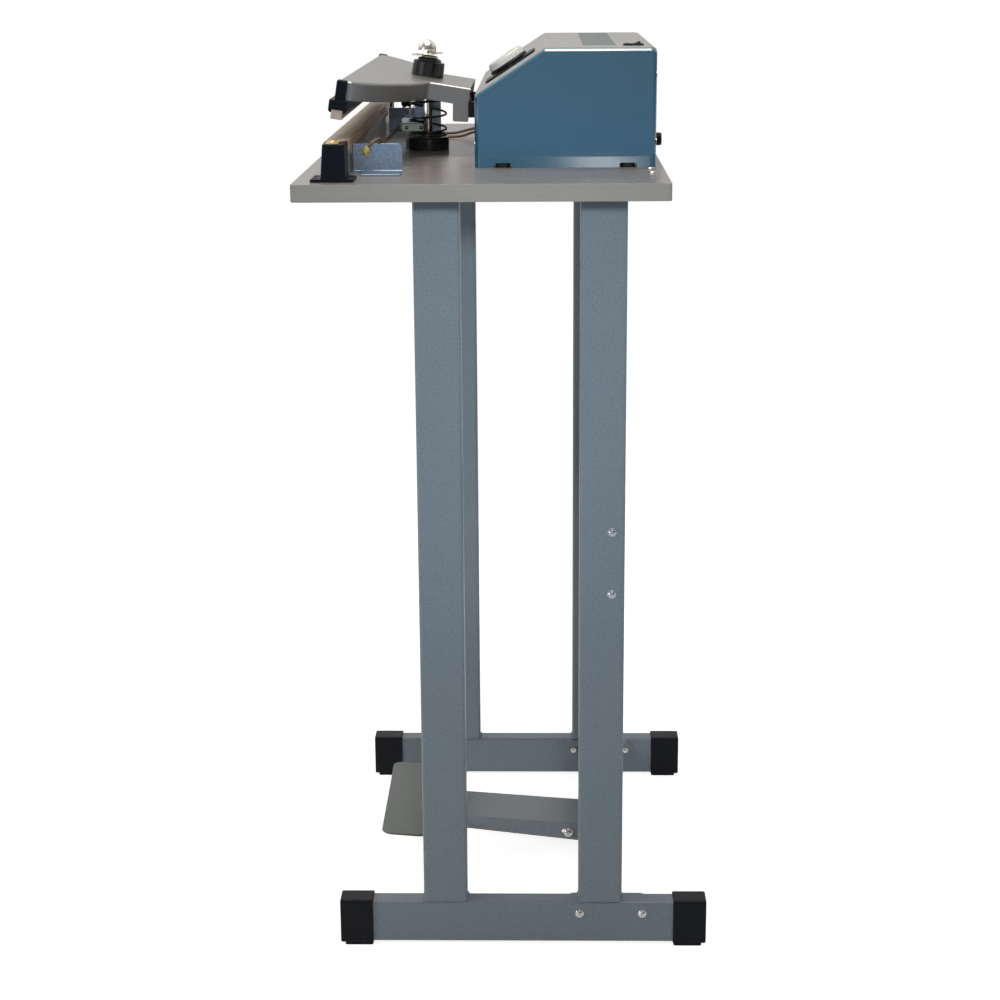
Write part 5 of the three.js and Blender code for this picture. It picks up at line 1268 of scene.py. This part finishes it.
def spring():
    """Closed curls at its ends and open curls between, leaning with the arm."""
    wire, outer, curls, end_rise, steps = 2.4, 44.6, 5, 3.6, 48
    skin_low, gap, lowered = 22, 0.3, 1.8
    seat = span("spring_seat", "Z")[1] + wire / 2 + gap
    under = HINGE_Z + skin_low / cos(ARM_ANGLE) - (ROD_Y - HINGE_Y) * tan(ARM_ANGLE)
    top = under - (wire / 2 + gap) / cos(ARM_ANGLE) - lowered
    open_rise = (top - seat - 2 * end_rise) / (curls - 2)
    path = []
    for i in range(curls * steps + 1):
        turns = i / steps
        rising = min(max(turns - 1, 0), curls - 2)
        share = rising / (curls - 2)
        at = polar((outer - wire) / 2, 2 * pi * turns)
        tilt = share * (1 - 0.5 * share ** 3) * tan(ARM_ANGLE) * at.y
        path.append((at.x, ROD_Y + at.y, seat + open_rise * rising + end_rise * (turns - rising) - tilt))
    made = piece("spring_shown", swept(path, wire / 2), "black_metal", "return_spring", sharp=60)
    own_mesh(made)


# Microswitch
def microswitch():
    x0, x1 = span("microswitch", "X")
    x0, x1 = x0 + 0.05, x1 - 0.05
    y0, y1 = span("microswitch", "Y")
    z0, z1 = span("microswitch", "Z")
    lower = run(rectangle(y0, z0, y1, z0 + 8.6, 0.8, 4), "X", x0, x1)
    piece("switch_lower_half", lower, SWITCH_BODY, "microswitch", bevel=0.25, rounds=2)
    seam = run(rectangle(y0 + 0.3, z0 + 8.4, y1 - 0.3, z0 + 9.4, 0.3, 2), "X", x0 + 0.3, x1 - 0.3)
    piece("switch_seam", seam, DARK_SEAM)
    upper = run(rectangle(y0, z0 + 9.3, y1, z1, 0.8, 4), "X", x0, x1)
    piece("switch_upper_half", upper, SWITCH_COVER, bevel=0.25, rounds=2)
    button = block(-34.6, -31.4, -121.5, -118.0, z1 - 0.5, z1 + 0.7)
    piece("switch_button", button, "black_plastic", bevel=0.3, rounds=2)
    tabs = bmesh.new()
    for y in (-130.5, -120.0, -110.0):
        block(-33.6, -33.0, y - 1.6, y + 1.6, z0 - 7.0, z0 + 0.3, tabs)
    piece("switch_terminals", tabs, "brass", bevel=0.1, rounds=1)
    striker = stack([rectangle(-29.3, -133, -25.3, -124, 1.2, 4), rectangle(-29.6, -134, -25.0, -123, 1.5, 4),
                     rectangle(-29.6, -136, -25.0, -121, 1.5, 4)], "Z", [936, 938, 972])
    piece("switch_striker", striker, "black_plastic", body="upper_arm", bevel=0.5)
    dressed("switch_plate", "zinc_sheet", bevel=0.35, rounds=2)
    dressed("microswitch_lever", "bare_steel", bevel=0.15, rounds=2)
    fasteners("switch_screws", pan_head(3.0, 1.4),
              facing((1, 0, 0), [(x1, y, z0 + 4.2) for y in (-128.5, -111.5)], 0.75), 25)


# Pedal
def pedal():
    channel, tail, longer = copied("pedal_arm"), 4, 5.5
    rear = max(v.co.y for v in channel.verts)
    for v in channel.verts:
        if v.co.y > rear - tail:
            v.co.y += longer
    piece("pedal_channel", channel, "pedal_paint", "pedal_arm", bevel=1.4, rounds=4, corner=50)
    dressed("pedal_plate", PEDAL_TREAD_SHADED, bevel=0.9, corner=50)
    dressed("rod_link_pin", "bare_steel", bevel=0.4, rounds=2)
    shank = turned([(0, -43), (3.6, -43), (4.0, -42.6), (4.0, 41.0), (0, 41.0)], 32)
    piece("pivot_bolt_shank", shank, "bare_steel", "pedal_pivot_bolt",
          at=towards((1, 0, 0), (0, PEDAL_Y, PEDAL_Z)))


def bolts():
    """Cross-recess bolts and nuts of both cross members, the table's screws, and the pedal's pivot bolt."""
    heads, nuts = [], []
    for sign in (1, -1):
        for spots, way, low_x, wide_x in ((heads, sign, LEG_OUT, LEG_OUT),
                                          (nuts, -sign, LEG_IN - 4, LEG_IN - 2)):
            spots += facing((way, 0, 0), [(sign * low_x, y, 39.8) for y in (74.2, 146.3)])
            spots += facing((way, 0, 0), [(sign * wide_x, 108.4, z) for z in (496, 425)])
    fasteners("stand_bolts", pan_head(3.9, 2.6, washer=4.9), heads, 11)
    fasteners("stand_nuts", hex_nut(7.5, 3.6), nuts, 12)
    on_top = [(sign * 275, 147.0) for sign in (1, -1)]
    on_top += [(sign * 234, y) for sign in (1, -1) for y in (147.0, -128.0)]
    fasteners("table_screws", pan_head(4.6, 2.2), facing(UP, [(x, y, TABLE_TOP) for x, y in on_top]), 13)
    under = [(sign * x, y, LEG_TOP) for sign in (1, -1)
             for x, y in ((275, 147), (234, 147), (234, -128), (275, -128))]
    fasteners("table_nuts", hex_nut(8.0, 3.4), facing((0, 0, -1), under, 0.8), 14)
    fasteners("pivot_bolt_head", pan_head(4.8, 3.0, washer=5.8),
              facing((1, 0, 0), [(39.3, PEDAL_Y, PEDAL_Z)]), 15)
    fasteners("pivot_bolt_nut", hex_nut(9.0, 3.6), facing((-1, 0, 0), [(-39.2, PEDAL_Y, PEDAL_Z)], 0.9), 16)


# All of it
stand()
tabletop()
for box_side in SIDES:
    cover(*box_side)
for build in (panel, dial, knob, power_switch, inlet, inside_box, seal_bar, cloth):
    build()
terminal_spots, foot_spots, bracket_spots, lug_spots = [], [], [], []
for jaw_side in SIDES:
    on_plate, on_flange = end_block(*jaw_side)
    terminal_spots += on_plate
    foot_spots += on_flange
    bracket_spots += bracket(*jaw_side)
    lug_spots += lead(*jaw_side)
fasteners("terminal_screws", pan_head(3.0, 1.2), terminal_spots, 21, LOOKS["brass"])
fasteners("block_screws", pan_head(2.9, 1.2), foot_spots, 22, LOOKS["black_metal"])
fasteners("bracket_screws", pan_head(3.6, 1.6, flat=True), bracket_spots, 23, LOOKS["zinc_sheet"])
fasteners("lug_screws", pan_head(3.4, 2.2), lug_spots, 24)
for build in (arm, press_bar, arm_fittings, hinge, pull_rod, spring, microswitch, pedal, bolts):
    build()


# Camera, floor and light
def camera():
    """The photograph's viewpoint: from the machine's right side, a little above the table."""
    yaw, pitch, roll = 0.022, radians(14.90), radians(-0.39)
    ahead = Vector((-cos(yaw) * cos(pitch), -sin(yaw) * cos(pitch), -sin(pitch)))
    right = Vector((-sin(yaw), cos(yaw), 0.0))
    up = right.cross(ahead)
    across = right * cos(roll) + up * sin(roll)
    upright = up * cos(roll) - right * sin(roll)
    data = bpy.data.cameras.new("camera")
    data.sensor_width, data.lens = 36.0, 74.0
    data.clip_start, data.clip_end = 0.05, 50.0
    made = on_scene("camera", data)
    turn = Matrix((across, upright, -ahead)).transposed().to_4x4()
    made.matrix_world = Matrix.Translation((2.4355, 0.03345, 1.1102)) @ turn
    bpy.context.scene.camera = made


def floor():
    """A plain pale floor that is white to the camera and keeps the machine's shadow."""
    bm = bmesh.new()
    bm.faces.new([bm.verts.new((x, y, 0)) for x, y in ((-12, -12), (12, -12), (12, 12), (-12, 12))])
    made = on_scene("floor", mesh_of(bm, "floor"))
    look, tree, here = new_look("floor", (0.78, 0.78, 0.78))
    ray = tree.add("ShaderNodeLightPath").outputs
    lift = tree.plus(tree.times(ray["Is Camera Ray"], 0.79), tree.times(ray["Is Glossy Ray"], 0.60))
    ahead = tree.times(tree.spread(tree.axes(here)["X"], 0.5, 1.4), ray["Is Glossy Ray"])
    tree.shade({"Base Color": (0.78, 0.78, 0.78), "Roughness": 0.9, "Specular IOR Level": 0.1,
                "Emission Color": tree.mixed(ahead, (1, 1, 1), (0.22, 0.52, 1.10)),
                "Emission Strength": lift})
    look.cycles.emission_sampling = "NONE"
    made.data.materials.append(look)


def world():
    """White to the camera; to gloss, white behind the machine, dim on its right, a window in front."""
    made = bpy.data.worlds.new("studio")
    bpy.context.scene.world = made
    made.use_nodes = True
    made.node_tree.nodes.clear()
    tree = Tree(made.node_tree)
    ray = tree.add("ShaderNodeLightPath").outputs
    way = tree.add("ShaderNodeTexCoord").outputs["Generated"]
    x, y, z = tree.axes(way)
    front = tree.vector_maths("DOT_PRODUCT", {0: way, 1: (0.64, -0.76, 0.10)})["Value"]
    window = tree.spread(front, 0.95, 0.975)
    sweep = tree.times(tree.spread(x, 0.35, -0.35, 0.30, 1.0), tree.spread(z, 0.04, 0.35, 0.28, 1.0))
    sweep = tree.times(sweep, tree.spread(y, 0.13, -0.12, 0.80, 1.2))
    ahead = tree.times(tree.spread(x, 0.3, 0.7), tree.spread(z, 0.16, 0.06))
    shine = tree.plus(tree.plus(sweep, window), tree.times(ahead, 0.4))
    soft, seen, gloss = (tree.add("ShaderNodeBackground", {"Color": colour, "Strength": strength})
                         for colour, strength in (((0.96, 0.98, 1.0), 0.29), ((1, 1, 1), 1.0),
                                                  ((1, 1, 1), shine)))
    shiny = tree.maths("MAXIMUM", ray["Is Glossy Ray"], ray["Is Transmission Ray"])
    unseen = tree.add("ShaderNodeMixShader", {0: shiny, 1: soft, 2: gloss})
    whole = tree.add("ShaderNodeMixShader", {0: ray["Is Camera Ray"], 1: unseen, 2: seen})
    tree.add("ShaderNodeOutputWorld", {"Surface": whole})


def lamp(name, place, aim, size, power, colour=(1, 1, 1), spread=180, glossy=True, diffuse=True):
    data = bpy.data.lights.new(name, "AREA")
    data.shape, data.size, data.energy, data.color = "SQUARE", size, power, colour
    data.spread = radians(spread)
    made = on_scene(name, data)
    made.location = place
    made.rotation_mode = "QUATERNION"
    made.rotation_quaternion = (Vector(aim) - Vector(place)).to_track_quat("-Z", "Y")
    made.visible_glossy, made.visible_diffuse = glossy, diffuse


camera()
floor()
world()
KEY_PLACE, COOL, WARM = (2.30, 0.136, 1.25), (0.93, 0.97, 1.0), (1.0, 0.98, 0.94)
lamp("key_low", KEY_PLACE, (0.26, 0.02, 0.50), 0.12, 0.65, COOL, spread=36, glossy=False)
lamp("key_high", KEY_PLACE, (0.22, -0.03, 0.95), 0.12, 0.62, COOL, spread=32, glossy=False)
lamp("flash", (2.40, 0.158, 1.144), (0.2165, 0.096, 0.898), 0.10, 0.00026, spread=5, diffuse=False)
lamp("edge_light", (0.60, 0.0, 2.7), (0.25, 0.0, 0.9), 1.6, 26, WARM, diffuse=False)
lamp("edge_core", (0.60, 0.133, 2.7), (0.25, 0.09, 0.9), 0.26, 4.5, WARM, diffuse=False)
lamp("overhead", (0.1, -0.1, 2.7), (0, 0, 0.6), 1.15, 24, (1.0, 0.97, 0.90))
lamp("low_front", (0.9, -1.9, 0.8), (-0.15, 0.05, 0.22), 0.5, 1.15, (1.0, 0.90, 0.74), spread=44)
bpy.context.scene.view_settings.view_transform = "Standard"
